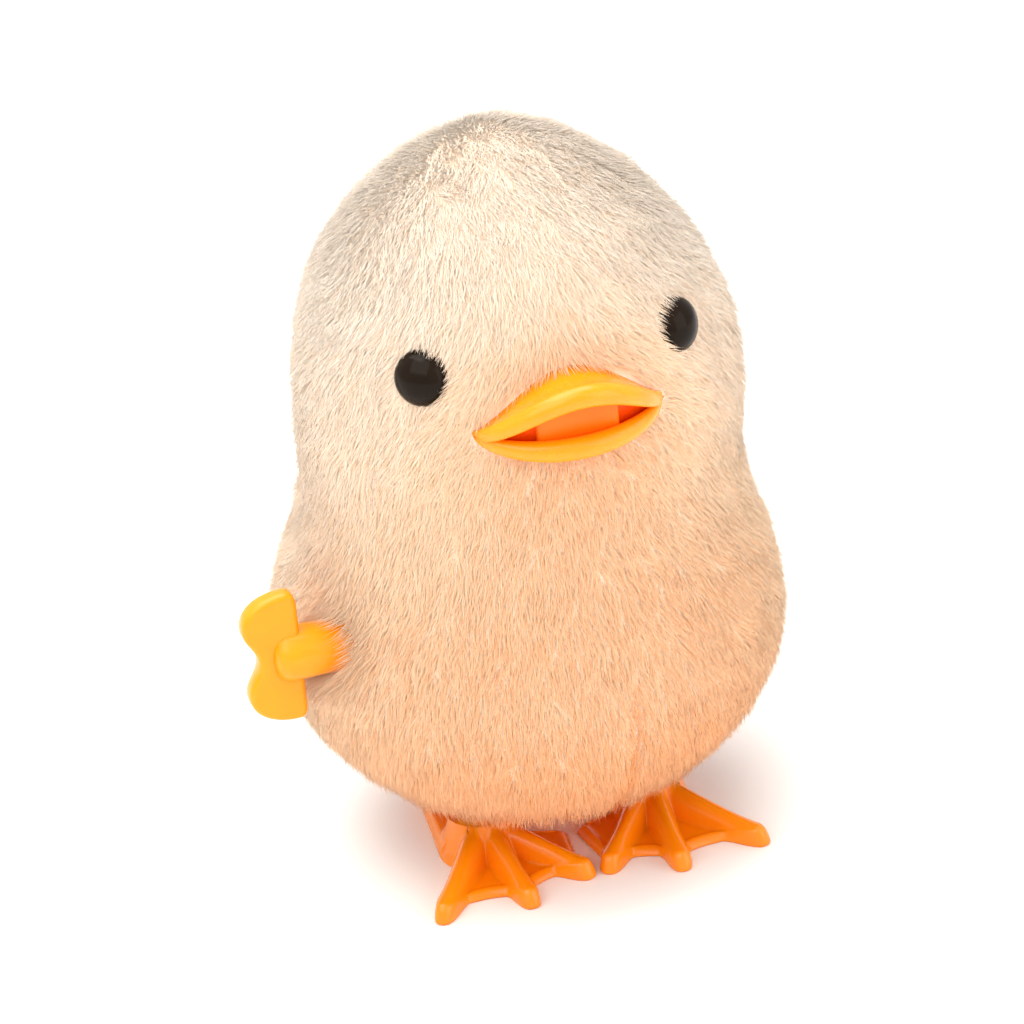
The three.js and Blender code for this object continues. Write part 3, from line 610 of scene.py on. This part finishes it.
# which way the pile lies at each root, and how clearly
def combing(points, normals):
    down = np.tile([0.0, 0.0, -1.0], (len(points), 1))
    fromBill = points - billMiddle
    distance = np.linalg.norm(fromBill, axis=1, keepdims=True)
    pull = pile["billPull"] * np.exp(-((distance / pile["billPullReach"]) ** 2))
    above = points[:, 2:3] > billMiddle[2]
    pull = np.where(above, pull * pile["billPullAbove"], pull)
    flow = down + pull * unit(fromBill)
    crown = np.clip((points[:, 2] - pile["forwardFrom"]) / pile["forwardRise"], 0, 1)
    flow[:, 1] -= pile["forward"] * crown
    leftTop, rightTop = eyes["eye_left"][0], eyes["eye_right"][0]
    leftAway = np.linalg.norm(points - leftTop, axis=1)
    rightAway = np.linalg.norm(points - rightTop, axis=1)
    nearest = np.where((leftAway < rightAway)[:, None], leftTop, rightTop)
    away = np.minimum(leftAway, rightAway)[:, None]
    # outside an eye the pile is combed clear of it, and on the side of the bill over its rim
    fromEye = unit(points - nearest)
    outer = (fromEye * unit(nearest - billMiddle)).sum(axis=1, keepdims=True)
    eyePull = (0.1 + pile["eyePull"] * outer) * np.exp(-((away / pile["eyePullReach"]) ** 2))
    flow = flow + eyePull * fromEye
    flow = flow - (flow * normals).sum(axis=1, keepdims=True) * normals
    strength = np.linalg.norm(flow, axis=1)
    return unit(flow), strength


def turnAbout(vectors, axes, angles):
    c, s = np.cos(angles)[:, None], np.sin(angles)[:, None]
    return vectors * c + np.cross(axes, vectors) * s


# which of the tones each strand takes, from its place on the cover: a random spread and the seam, with painted
# warm bounce light and shade lower down, at the front, on the belly and round the bill
def strandTones(roots, seam, random):
    front = np.clip(-roots[:, 1] / warmthWithPaintedBounce["frontReach"], 0, 1)
    low = np.clip((warmthWithPaintedBounce["sideFrom"] - roots[:, 2]) / warmthWithPaintedBounce["sideDrop"], 0, 1)
    belly = np.clip((warmthWithPaintedBounce["bellyBounceFrom"] - roots[:, 2]) / warmthWithPaintedBounce["bellyBounceDrop"], 0, 1)
    billAway = np.linalg.norm(roots - billMiddle, axis=1)
    warm = warmthWithPaintedBounce["least"] + random.normal(0, warmthWithPaintedBounce["spread"], len(roots)) + seam
    # painted warm bounce light and shade, lower down and more at the front
    warm += (warmthWithPaintedBounce["side"] + warmthWithPaintedBounce["front"] * front) * low
    # painted bounce light from the feet, on the belly
    warm += warmthWithPaintedBounce["belly"] * belly
    # painted bounce light from the bill, round it
    warm += warmthWithPaintedBounce["bill"] * np.exp(-((billAway / warmthWithPaintedBounce["billBounceReach"]) ** 2))
    return np.clip(np.round(warm), 0, len(furTones) - 1).astype(int)


def makeStrands():
    random = np.random.default_rng(pile["seed"])
    total = pile["strands"]
    rises, areas = areaTable()
    order = (np.arange(total) + random.random(total)) / total
    turns = np.arange(total) * np.pi * (3 - math.sqrt(5)) + random.normal(0, 0.004, total)
    turns = np.mod(turns, 2 * np.pi)
    strandRises = np.interp(order * areas[-1], areas, rises)
    roots = coverPoints(turns, strandRises, cover["pileDepth"])
    normals = coverNormals(turns, strandRises, cover["pileDepth"])
    eyeAway = eyeDistance(roots)
    hollow = cover["eyeHollow"] * np.exp(-((eyeAway / cover["eyeHollowReach"]) ** 2))
    roots = roots - (hollow + pile["rootSunk"])[:, None] * normals
    keyAway = np.hypot(roots[:, 1] - keyAxis[0], roots[:, 2] - keyAxis[1])
    onKey = (roots[:, 0] < middleX) & (keyAway < keyStem + pile["keyClear"])
    clearOfEye = eyeDistance(roots, pile["eyeShift"]) > pile["eyeClear"]
    keep = clearOfEye & ~underBill(roots) & ~onKey
    turns, order, roots, normals = turns[keep], order[keep], roots[keep], normals[keep]
    eyeAway, keyAway = eyeAway[keep], keyAway[keep]
    count = len(roots)

    # each strand follows the tuft whose middle is nearest
    middles = random.choice(count, pile["tufts"], replace=False)
    tree = KDTree(len(middles))
    for i, k in enumerate(middles):
        tree.insert(roots[k], i)
    tree.balance()
    tuft = np.array([tree.find(root)[1] for root in roots])
    tuftTurn = np.radians(random.normal(0, pile["tuftTurnSpread"], len(middles)))[tuft]
    tuftLean = np.radians(random.normal(0, pile["tuftLeanSpread"], len(middles)))[tuft]

    flow, strength = combing(roots, normals)
    wander = np.radians(random.normal(0, pile["turnSpread"], count))
    flow = turnAbout(flow, normals, tuftTurn + wander)
    lean = np.radians(random.normal(pile["lean"], pile["leanSpread"], count)) + tuftLean
    leanTip = np.radians(pile["leanTip"]) + tuftLean
    leanTip = leanTip + np.radians(random.normal(0, pile["leanTipSpread"], count))
    # strands stand up where the combing parts, and round the key's stem
    onKeySide = roots[:, 0] < middleX
    collar = np.exp(-(((keyAway - keyStem) / pile["collarReach"]) ** 2)) * onKeySide
    upright = np.clip(0.3 + strength / 0.6, 0, 1) * (1 - pile["collarUpright"] * collar)
    lean = lean * upright
    leanTip = leanTip * upright
    length = pile["length"] * random.uniform(*pile["lengthSpread"], count)
    length *= 1 - pile["eyeShort"] * np.exp(-((eyeAway / pile["eyeShortReach"]) ** 2))
    length *= 1 + pile["collarExtra"] * collar
    nearHem = np.clip((pile["hemFrom"] - roots[:, 2]) / pile["hemDrop"], 0, 1)
    length *= 1 + pile["hemExtra"] * nearHem
    seamAway = np.abs(roots[:, 0] - middleX - pile["seamAside"])
    onBelly = (roots[:, 1] < 0) * (roots[:, 2] < pile["seamTop"])
    seam = np.exp(-((seamAway / pile["seamWidth"]) ** 2)) * onBelly
    length *= 1 - pile["seamShort"] * seam

    segments = pile["segments"]
    lines = np.empty((count, segments + 1, 3))
    lines[:, 0] = roots
    for k in range(segments):
        share = (k + 0.5) / segments
        angle = lean + (leanTip - lean) * share
        step = np.cos(angle)[:, None] * normals + np.sin(angle)[:, None] * flow
        lines[:, k + 1] = lines[:, k] + (length / segments)[:, None] * step
    for k in range(1, segments + 1):
        draw = pile["gather"] * (k / segments) ** 2
        target = lines[middles[tuft], k]
        offset = target - lines[:, k]
        far = np.linalg.norm(offset, axis=1, keepdims=True)
        offset *= np.minimum(1, pile["tuftReach"] / np.maximum(far, 1e-9))
        lines[:, k] += draw * offset

    tone = strandTones(roots, seam, random)
    return lines, normals, turns, order, tone


# three-sided strands that end in a point
def strandMesh(name, lines, normals, tone):
    count = len(lines)
    steps = lines.shape[1] - 1
    along = unit(np.gradient(lines, axis=1))
    side = unit(np.cross(along, normals[:, None, :]))
    lift = np.cross(along, side)
    corners = 2 * np.pi * np.arange(3) / 3 + np.pi / 2
    soft = pile["softShading"]  # strands are lit mostly as the cover under them is
    widths = pile["rootRadius"] * np.linspace(1, 0.45, steps)
    perStrand = 3 * steps + 1
    points = np.empty((count, perStrand, 3))
    shade = np.empty((count, perStrand, 3))
    for k in range(steps):
        for c, corner in enumerate(corners):
            outward = math.cos(corner) * side[:, k] + math.sin(corner) * lift[:, k]
            points[:, 3 * k + c] = lines[:, k] + widths[k] * outward
            shade[:, 3 * k + c] = unit(soft * normals + (1 - soft) * outward)
    points[:, -1] = lines[:, -1]
    shade[:, -1] = unit(normals + 0.3 * along[:, -1])
    loops = []
    sizes = []
    for k in range(steps - 1):
        for c in range(3):
            d = (c + 1) % 3
            loops += [3 * k + c, 3 * k + d, 3 * k + 3 + d, 3 * k + 3 + c]
            sizes.append(4)
    for c in range(3):
        loops += [3 * (steps - 1) + c, 3 * (steps - 1) + (c + 1) % 3, 3 * steps]
        sizes.append(3)
    loops += [2, 1, 0]
    sizes.append(3)
    loops = np.array(loops)
    starts = np.concatenate([[0], np.cumsum(sizes)[:-1]])
    allLoops = (loops[None, :] + perStrand * np.arange(count)[:, None]).ravel()
    allStarts = (starts[None, :] + len(loops) * np.arange(count)[:, None]).ravel()
    mesh = bpy.data.meshes.new(name)
    mesh.vertices.add(count * perStrand)
    mesh.loops.add(len(allLoops))
    mesh.polygons.add(len(allStarts))
    mesh.vertices.foreach_set("co", points.astype(np.float32).ravel())
    mesh.loops.foreach_set("vertex_index", allLoops.astype(np.int32))
    mesh.polygons.foreach_set("loop_start", allStarts.astype(np.int32))
    mesh.polygons.foreach_set("material_index", np.repeat(tone, len(sizes)).astype(np.int32))
    mesh.update(calc_edges=True)
    mesh.shade_smooth()
    mesh.normals_split_custom_set_from_vertices(shade.reshape(-1, 3).astype(np.float32))
    return mesh


def furMaterial(name, colour):
    material, _, _, shader = newMaterial(name)
    shader.inputs["Base Color"].default_value = (*colour, 1)
    shader.inputs["Roughness"].default_value = 0.8
    shader.inputs["Specular IOR Level"].default_value = 0.15
    shader.inputs["Sheen Weight"].default_value = 0.12
    shader.inputs["Sheen Roughness"].default_value = 0.5
    shader.inputs["Sheen Tint"].default_value = (1, 0.85, 0.7, 1)
    return material


furMaterials = [furMaterial(f"pile_tone_{i}", colour) for i, colour in enumerate(furTones)]
keyJoint = next(joint for joint in frame["joints"] if joint["name"] == "key_turn")
keyAxis = keyJoint["pos_m"][1:]
keyLow, keyHigh = (np.array(corner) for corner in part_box("winding_key"))
keyStem = 3.6 * mm  # radius of the key's stem

strandLines, strandNormals, strandTurns, strandOrder, strandTone = makeStrands()
print("strands made:", len(strandLines))

# pieces of pile by place: quarter 0 is the toy's left flank, and they run round by its back
quarters = {"left": 0, "back": 1, "right": 2, "front": 3}
for level, (bottom, top) in {"lower": (0, 0.5), "upper": (0.5, 1.01)}.items():
    for side, quarter in quarters.items():
        inQuarter = np.floor((strandTurns + np.pi / 4) / (np.pi / 2)).astype(int) % 4 == quarter
        pick = inQuarter & (strandOrder >= bottom) & (strandOrder < top)
        name = f"pile_{level}_{side}"
        mesh = strandMesh(name, strandLines[pick], strandNormals[pick], strandTone[pick])
        fur = addObject(name, mesh)
        for material in furMaterials:
            mesh.materials.append(material)
        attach(fur, "body")
        print(name, len(mesh.polygons), "faces")


# bill: sections across each lip, drawn from one corner of the mouth to the other
def lipMesh(name, section):
    count = bill["rings"]
    rings = []
    for i in range(count):
        share = math.sin(math.pi / 2 * (-1 + 2 * i / (count - 1)))
        full = max(0.03, max(0, 1 - share * share) ** 0.6)
        x = billHalf * share
        seat = -squeeze * math.sqrt(billSeat**2 - x**2)
        rings.append([(middleX + x, y, z) for y, z in section(full, seat)])
    points = [p for ring in rings for p in ring]
    return facesOutward(meshFromFaces(name, points, ringFaces(count, len(rings[0]))))


def curve(start, end, bend, steps):
    points = []
    for i in range(steps):
        t = (i + 0.5) / steps
        y = start[0] + (end[0] - start[0]) * t
        z = start[1] + (end[1] - start[1]) * t + bend * math.sin(math.pi * t)
        points.append((y, z))
    return points


def bead(centre, radius, fromAngle, toAngle, steps):
    angles = np.radians(np.linspace(fromAngle, toAngle, steps))
    return [(centre[0] + radius * math.cos(a), centre[1] + radius * math.sin(a)) for a in angles]


def upperSection(full, seat):
    half = bill["upperThickness"] / 2 * math.sqrt(full)
    middle = billHeight + bill["upperRise"] * full ** bill["upperPeak"]
    centre = (billCornerY - bill["upperReach"] * full + half, middle)
    top = (seat, middle + half + 1.3 * mm * full)
    under = (seat, middle - half)
    roll = bead(centre, half, 60, 285, 15)
    face = curve(top, roll[0], -0.75 * half, 8)
    return [top] + face + roll + curve(roll[-1], under, 0, 4) + [under]


def lowerSection(full, seat):
    half = bill["lowerThickness"] / 2 * math.sqrt(full)
    middle = billHeight - bill["lowerDrop"] * full
    centre = (billCornerY - bill["lowerReach"] * full + half, middle)
    top = (seat, middle + 0.6 * half)
    under = (seat, middle - half - 1 * mm)
    roll = bead(centre, half, 75, 270, 13)
    face = curve(top, roll[0], -0.9 * half, 8)
    return [top] + face + roll + curve(roll[-1], under, 0, 5) + [under]


def throatSection(full, seat):
    front = seat + throatFront - billBack
    upperMiddle = billHeight + bill["upperRise"] * full ** bill["upperPeak"]
    top = upperMiddle - 0.15 * bill["upperThickness"] * math.sqrt(full)
    floor = billHeight - bill["lowerDrop"] * full
    return [(seat, top), (front, top), (front, floor), (seat, floor)]


def roundedBox(name, low, high, rounding):
    mesh = bpy.data.meshes.new(name)
    shape = bmesh.new()
    size = [b - a for a, b in zip(low, high)]
    middle = [(a + b) / 2 for a, b in zip(low, high)]
    place = Matrix.Translation(middle) @ Matrix.Diagonal((*size, 1))
    bmesh.ops.create_cube(shape, size=1, matrix=place)
    edges = shape.edges[:]
    bmesh.ops.bevel(shape, geom=edges, offset=rounding, segments=4, profile=0.5, affect="EDGES")
    shape.to_mesh(mesh)
    shape.free()
    mesh.shade_smooth()
    return mesh


# one mesh of several, each with the number of its material
def joinMeshes(name, meshes, numbers=(0, 0, 0, 0)):
    shape = bmesh.new()
    for mesh, number in zip(meshes, numbers):
        before = len(shape.faces)
        shape.from_mesh(mesh)
        shape.faces.ensure_lookup_table()
        for face in shape.faces[before:]:
            face.material_index = number
    joined = bpy.data.meshes.new(name)
    shape.to_mesh(joined)
    shape.free()
    joined.shade_smooth()
    return joined


billBack = -squeeze * billSeat
throatFront = coverFront(billHeight, cover["pileDepth"]) - bill["throatSunk"]
tongueHalf = bill["tongueWidth"] / 2
tongueFront = billCornerY - bill["tongueReach"] * bill["lowerReach"]
billFloor = billHeight - bill["lowerDrop"]
billMesh = joinMeshes(
    "bill",
    [
        lipMesh("upper_lip", upperSection),
        lipMesh("lower_lip", lowerSection),
        roundedBox(
            "tongue",
            (middleX - tongueHalf, tongueFront, billFloor + 0.6 * mm),
            (middleX + tongueHalf, billBack, billHeight + 0.8 * bill["upperRise"]),
            bill["tongueRound"],
        ),
        lipMesh("throat", throatSection),
    ],
    # the tongue and throat take darker copies of the bill's plastic, painted shade in the mouth
    (0, 0, 1, 2),
)
billPiece = addObject("bill", billMesh, finish["bill_plastic"])
billMesh.materials.append(finish["tongue_plastic"])
billMesh.materials.append(finish["mouth_plastic"])
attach(billPiece, "body")
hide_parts("beak")
print("bill made")

# eyes

eye = {
    "dome": 3.3 * mm,
    "rimHeight": 0.6 * mm,
    "shank": 1.3 * mm,  # radius
    "shankLength": 7.4 * mm,
    "domeSteps": 12,
    "sides": 56,
}
onAxis = 0.0001 * mm  # a profile ends this near its axis
for name, (top, axis, radius) in eyes.items():
    shankEnd = -eye["shankLength"]
    profile = [(onAxis, shankEnd), (eye["shank"], shankEnd), (eye["shank"], 0)]
    profile += [(radius * 0.9, 0), (radius * 0.97, 0.1 * mm), (radius, 0.3 * mm)]
    for i in range(eye["domeSteps"] + 1):
        angle = math.pi / 2 * i / eye["domeSteps"]
        height = eye["rimHeight"] + (eye["dome"] - eye["rimHeight"]) * math.sin(angle)
        profile.append((max(radius * math.cos(angle), onAxis), height))
    mesh = turnedMesh(name + "_bead", profile, eye["sides"])
    turn = Vector(axis).to_track_quat("Z", "Y").to_matrix().to_4x4()
    place = Matrix.Translation(Vector(top - axis * eye["dome"])) @ turn
    mesh.transform(place)
    beadPiece = addObject(name + "_bead", mesh, finish["eye_black"])
    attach(beadPiece, "body")
    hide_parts(name)
print("eyes made")

# winding key

key = {
    "thickness": 3 * mm,
    "rounding": 0.75 * mm,
    "notch": 1.8 * mm,  # the waist between the plate's two lobes
    "plateWidth": 7.6 * mm,
    "innerCorner": 1.4 * mm,
    "stemProud": 3.9 * mm,
    "stemLength": 22.3 * mm,
    "stemRound": 2.2 * mm,
    "bore": 1.8 * mm,  # radius
    "boreDepth": 6 * mm,
}


def bezier(a, b, c, d, steps):
    t = np.linspace(0, 1, steps, endpoint=False)[:, None]
    a, b, c, d = (np.array(p) for p in (a, b, c, d))
    return (1 - t) ** 3 * a + 3 * (1 - t) ** 2 * t * b + 3 * (1 - t) * t**2 * c + t**3 * d


# outline of the plate, as distances out from the toy's middle and heights from the key's axis
def keyOutline():
    half = (keyHigh[2] - keyLow[2]) / 2
    outer = middleX - keyLow[0]
    inner = outer - key["plateWidth"]
    waist = outer - key["notch"]
    corner = (inner + key["innerCorner"], half)
    lobe = (outer, 0.52 * half)
    side = (inner, 0.8 * half)
    upper = np.concatenate(
        [
            bezier(side, (inner, 0.93 * half), (inner + 0.4 * mm, half), corner, 6),
            bezier(corner, (outer - 2.5 * mm, half), (outer, 0.8 * half), lobe, 14),
            bezier(lobe, (outer, 0.33 * half), (waist, 0.2 * half), (waist, 0), 8),
        ]
    )
    lower = upper[::-1] * np.array([1, -1])
    return np.concatenate([upper, [[waist, 0]], lower[:-1], [[inner, -0.8 * half]]])


# a flat plate with its edge rounded over
def plateMesh(name, outline, thickness, rounding):
    ahead = np.roll(outline, -1, axis=0) - np.roll(outline, 1, axis=0)
    ahead /= np.maximum(np.linalg.norm(ahead, axis=1, keepdims=True), 1e-12)
    inward = np.stack([-ahead[:, 1], ahead[:, 0]], axis=1)
    if np.sum(inward * (outline.mean(axis=0) - outline)) < 0:
        inward = -inward
    rings = []
    for angle in np.radians(np.linspace(-90, 90, 13)):
        drop = rounding * (1 - math.cos(angle))
        reach = math.copysign(thickness / 2 - rounding, angle) if abs(angle) > 1e-6 else 0
        layer = reach + rounding * math.sin(angle)
        ring = outline + inward * drop
        rings.append([(middleX - u, keyAxis[0] + layer, keyAxis[1] + v) for u, v in ring])
    points = [p for ring in rings for p in ring]
    return facesOutward(meshFromFaces(name, points, ringFaces(len(rings), len(outline))))


def stemMesh():
    end = middleX - keyLow[0] - key["plateWidth"] + key["stemProud"]
    start = end - key["stemLength"]
    rounding = key["stemRound"]
    profile = [(key["bore"], start), (keyStem, start), (keyStem, end - rounding)]
    for angle in np.radians(np.linspace(10, 90, 9)):
        across = keyStem - rounding + rounding * math.cos(angle)
        profile.append((across, end - rounding + rounding * math.sin(angle)))
    profile += [(0.6 * mm, end + 0.02 * mm), (0.001 * mm, end + 0.02 * mm)]
    boreEnd = end - key["boreDepth"]
    bore = [(0.001 * mm, boreEnd), (key["bore"], boreEnd)]
    mesh = turnedMesh("stem", bore + profile)
    # from about Z to about X, with the stem's end away from the body
    turn = Matrix(((0, 0, -1, 0), (0, 1, 0, 0), (1, 0, 0, 0), (0, 0, 0, 1)))
    mesh.transform(Matrix.Translation((middleX, keyAxis[0], keyAxis[1])) @ turn)
    return facesOutward(mesh)


keyPlate = plateMesh("plate", keyOutline(), key["thickness"], key["rounding"])
keyMesh = joinMeshes("key", [keyPlate, stemMesh()])
keyPiece = addObject("thumb_key", keyMesh, finish["key_yellow"])
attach(keyPiece, "key")
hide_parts("winding_key")
print("key made")

# feet

feet = {
    "ankleY": -8 * mm,
    "ankleX": 11.9 * mm,
    "ankleTop": 7.7 * mm,
    "legCut": 1.2 * mm,  # the leg is cut off this far under it
    # from the ankle, outwards and back, in mm
    "toeTips": [(-10.0, -12.6), (-1.1, -16.2), (10.5, -14.9)],
    "toeRoot": 2.3 * mm,
    "toeWaist": 1.45 * mm,
    "toeBulb": 1.65 * mm,
    "toeTipHeight": 3.1 * mm,
    "webThickness": 0.75 * mm,
    "webSwell": 1.6 * mm,  # how much thicker it is at the ankle
    "webSwellReach": 10 * mm,
    "webReach": 0.86,
    "webHollow": 0.05,
    "webRim": 0.35 * mm,  # a low rim this high runs along the foot's edge
    "rimInset": 0.9 * mm,
    "rimWidth": 0.8 * mm,
    "innerWeb": [(-11.3, -1.5), (-10.2, -10.5)],  # beside the inner toe, from the ankle, in mm
    "heelBack": 15.4 * mm,
    "heelRadius": 4.6 * mm,
    "ankleRadius": 6.4 * mm,
    "heelHeight": 2.1 * mm,
    "edgeRound": 1.5 * mm,
    "edgeHeight": 0.25 * mm,
    "soleInset": 0.3 * mm,
    "ridgeFall": 1.25,  # how quickly a toe's ridge drops from the ankle
    "ankleFoot": 6.2 * mm,  # the ankle rises out of the foot inside this reach
    "ankleSlope": 2.6 * mm,
    "blend": 0.35 * mm,  # how softly toes, ankle and web run together
    "furthest": 26 * mm,  # beyond every toe
    "around": 300,
    "outwards": 44,
}


def toeWidth(share):
    width = feet["toeRoot"] + (feet["toeWaist"] - feet["toeRoot"]) * np.clip(share / 0.7, 0, 1)
    bulge = np.clip((share - 0.7) / 0.3, 0, 1)
    return width + (feet["toeBulb"] - feet["toeWaist"]) * bulge**2 * (3 - 2 * bulge)


# outline of a foot seen from above, and the height of its top over each place
def footSurface():
    tips = [np.array(tip) * mm for tip in feet["toeTips"]]
    lengths = [np.linalg.norm(tip) for tip in tips]
    headings = [tip / length for tip, length in zip(tips, lengths)]
    turns = [math.atan2(h[1], h[0]) for h in headings]

    def toeFacts(p, i):
        along = np.clip(p @ headings[i] / lengths[i], 0, 1)
        aside = np.linalg.norm(p - along[..., None] * tips[i], axis=-1)
        return along, aside

    angles = 2 * np.pi * np.arange(feet["around"]) / feet["around"] - np.pi
    rays = np.stack([np.cos(angles), np.sin(angles)], axis=1)
    trial = np.arange(0, feet["furthest"], 0.05 * mm)
    places = trial[None, :, None] * rays[:, None, :]
    inside = trial[None, :] < feet["ankleRadius"] + 0 * places[..., 0]
    # toes
    for i in range(3):
        along, aside = toeFacts(places, i)
        inside |= aside < toeWidth(along)
    # web between neighbouring toes
    for i in range(2):
        share = (angles - turns[i]) / (turns[i + 1] - turns[i])
        between = (share > 0) & (share < 1)
        side = tips[i + 1] - tips[i]
        normal = np.array([side[1], -side[0]]) / np.linalg.norm(side)
        reach = (tips[i] @ normal) / (rays @ normal)
        sag = 1 - feet["webHollow"] * np.sin(np.pi * np.clip(share, 0, 1))
        edge = reach * feet["webReach"] * sag
        inside |= between[:, None] & (trial[None, :] < edge[:, None])
    # heel
    heelShare = np.clip(places[..., 1] / feet["heelBack"], 0, 1)
    heelLine = heelShare[..., None] * np.array([0, feet["heelBack"]])
    heelAside = np.linalg.norm(places - heelLine, axis=-1)
    heelWidth = feet["ankleRadius"] + (feet["heelRadius"] - feet["ankleRadius"]) * heelShare
    inside |= heelAside < heelWidth
    # web beside the inner toe
    first, last = (np.array(corner) * mm for corner in feet["innerWeb"])
    fromFirst = first[0] * places[..., 1] - first[1] * places[..., 0]
    toLast = places[..., 0] * last[1] - places[..., 1] * last[0]
    side = last - first
    within = side[0] * (places[..., 1] - first[1]) - side[1] * (places[..., 0] - first[0])
    inside |= (fromFirst > 0) & (toLast > 0) & (within > 0)
    outline = trial[np.where(inside.all(axis=1), len(trial) - 1, np.argmin(inside, axis=1))]
    outline = np.concatenate([outline[-2:], outline, outline[:2]])
    outline = np.convolve(outline, [0.1, 0.2, 0.4, 0.2, 0.1], "valid")

    # places across the foot lie closer together towards its edge
    shares = 1 - (1 - np.linspace(0, 1, feet["outwards"])) ** 1.9
    places = (outline[:, None] * shares[None, :])[..., None] * rays[:, None, :]
    reach = np.linalg.norm(places, axis=-1)
    toEdge = outline[:, None] - reach
    fall = np.clip(1 - reach / feet["webSwellReach"], 0, 1)
    web = feet["webThickness"] + feet["webSwell"] * fall**1.6
    web += feet["webRim"] * np.exp(-(((toEdge - feet["rimInset"]) / feet["rimWidth"]) ** 2))
    web = np.where(places[..., 1] > 0, np.maximum(web, feet["heelHeight"]), web)
    layers = [web]
    ridgeDrop = feet["ankleTop"] - feet["toeTipHeight"] - 0.6 * mm
    for i in range(3):
        along, aside = toeFacts(places, i)
        ridge = feet["toeTipHeight"] + ridgeDrop * (1 - along) ** feet["ridgeFall"]
        section = np.sqrt(np.clip(1 - (aside / (1.12 * toeWidth(along))) ** 2, 0, 1))
        layers.append(web + (ridge - web) * section)
    rise = np.clip((feet["ankleFoot"] - reach) / feet["ankleSlope"], 0, 1)
    layers.append(web + (feet["ankleTop"] - web) * rise**2 * (3 - 2 * rise))
    # the highest layer wins, with the joins between them softened
    soft = feet["blend"]
    together = np.sum([np.exp(layer / soft) for layer in layers], axis=0)
    heights = soft * np.log(together) - soft * math.log(len(layers)) * 0.6
    rounding = np.clip(toEdge / feet["edgeRound"], 0, 1)
    edge = feet["edgeHeight"]
    heights = edge + (heights - edge) * np.sqrt(1 - (1 - rounding) ** 2)
    return outline, rays, places, heights


# the foot's leg inside the body, cut off just under the top of the ankle
def legMesh(node):
    shape = bmesh.new()
    shape.from_mesh(cadNodes[node].data)
    geometry = shape.verts[:] + shape.edges[:] + shape.faces[:]
    cut = Vector((0, 0, feet["ankleTop"] - feet["legCut"]))
    up = Vector((0, 0, 1))
    bmesh.ops.bisect_plane(shape, geom=geometry, plane_co=cut, plane_no=up, clear_inner=True)
    rim = [edge for edge in shape.edges if edge.is_boundary]
    bmesh.ops.triangle_fill(shape, edges=rim, use_beauty=True)
    mesh = bpy.data.meshes.new(node + "_leg")
    shape.to_mesh(mesh)
    shape.free()
    return mesh


# side is 1 for the toy's left foot and -1 for its right
def footMesh(name, side, legPart):
    outline, rays, places, heights = footSurface()
    around, outwards = feet["around"], feet["outwards"]
    points = [(0, 0, heights[0, 0])]
    index = np.zeros((around, outwards), int)
    for j in range(1, outwards):
        for i in range(around):
            index[i, j] = len(points)
            points.append((places[i, j, 0], places[i, j, 1], heights[i, j]))
    faces = []
    for i in range(around):
        k = (i + 1) % around
        faces.append((0, index[i, 1], index[k, 1]))
        for j in range(1, outwards - 1):
            faces.append((index[i, j], index[i, j + 1], index[k, j + 1], index[k, j]))
    sole = [len(points) + i for i in range(around)]
    for i in range(around):
        edge = max(outline[i] - feet["soleInset"], 0)
        points.append((rays[i, 0] * edge, rays[i, 1] * edge, 0))
    under = len(points)
    points.append((0, 0, 0))
    for i in range(around):
        k = (i + 1) % around
        faces.append((index[i, -1], sole[i], sole[k], index[k, -1]))
        faces.append((sole[i], under, sole[k]))
    ankleX, ankleY = feet["ankleX"], feet["ankleY"]
    moved = [(middleX + side * (ankleX + x), ankleY + y, z) for x, y, z in points]
    shell = facesOutward(meshFromFaces(name, moved, faces))
    return joinMeshes(name, [shell, legMesh(legPart)])


for side, node, body in ((1, "foot_left", "left_leg"), (-1, "foot_right", "right_leg")):
    name = node + "_webbed"
    footPiece = addObject(name, footMesh(name, side, node), finish["orange_plastic"])
    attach(footPiece, body)
    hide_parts(node)
print("feet made")

# table, lights and surroundings

studio = {
    "keyPlace": (-0.36, -0.3, 0.66),
    "keySize": 0.8,
    "keyLight": 4.2,
    "keyColour": (1.0, 0.965, 0.91),
    "fillPlace": (0.5, -0.5, 0.3),
    "fillSize": 0.6,
    "fillLight": 1.8,
    "fillColour": (1.0, 0.95, 0.9),
    "topPlace": (-0.03, 0.24, 0.8),
    "topSize": 0.8,
    "topLight": 7.4,
    "topColour": (1.0, 0.97, 0.94),
    "aimHeight": 0.045,
    "tableHalf": 3,
    "surround": 0.87,
    "surroundColour": (1.0, 0.99, 0.98),
}


def areaLight(use):
    name = use + "_light"
    place = studio[use + "Place"]
    light = bpy.data.lights.new(name, "AREA")
    light.size = studio[use + "Size"]
    light.energy = studio[use + "Light"]
    light.color = studio[use + "Colour"]
    lamp = bpy.data.objects.new(name, light)
    lamp.location = place
    aim = Vector((middleX, 0, studio["aimHeight"])) - Vector(place)
    lamp.rotation_euler = aim.to_track_quat("-Z", "Y").to_euler()
    bpy.context.collection.objects.link(lamp)


for use in ("key", "fill", "top"):
    areaLight(use)

far = studio["tableHalf"]
corners = [(-far, -far, 0), (far, -far, 0), (far, far, 0), (-far, far, 0)]
tableTop = addObject(
    "table",
    meshFromFaces("table", corners, [(0, 1, 2, 3)], False),
    mottledMaterial(
        "table_white",
        {
            "deep": (0.9, 0.89, 0.88),
            "pale": (0.93, 0.925, 0.92),
            "patch": 0.3,
            "roughness": (0.7, 0.8),
            "grain": 0.002,
            "bump": 0.02,
        },
    ),
)

world = bpy.data.worlds.new("studio")
world.use_nodes = True
sky = world.node_tree.nodes["Background"]
sky.inputs["Color"].default_value = (*studio["surroundColour"], 1)
sky.inputs["Strength"].default_value = studio["surround"]
bpy.context.scene.world = world
bpy.context.scene.view_settings.view_transform = "Standard"
bpy.context.scene.view_settings.look = "None"
print("studio set")
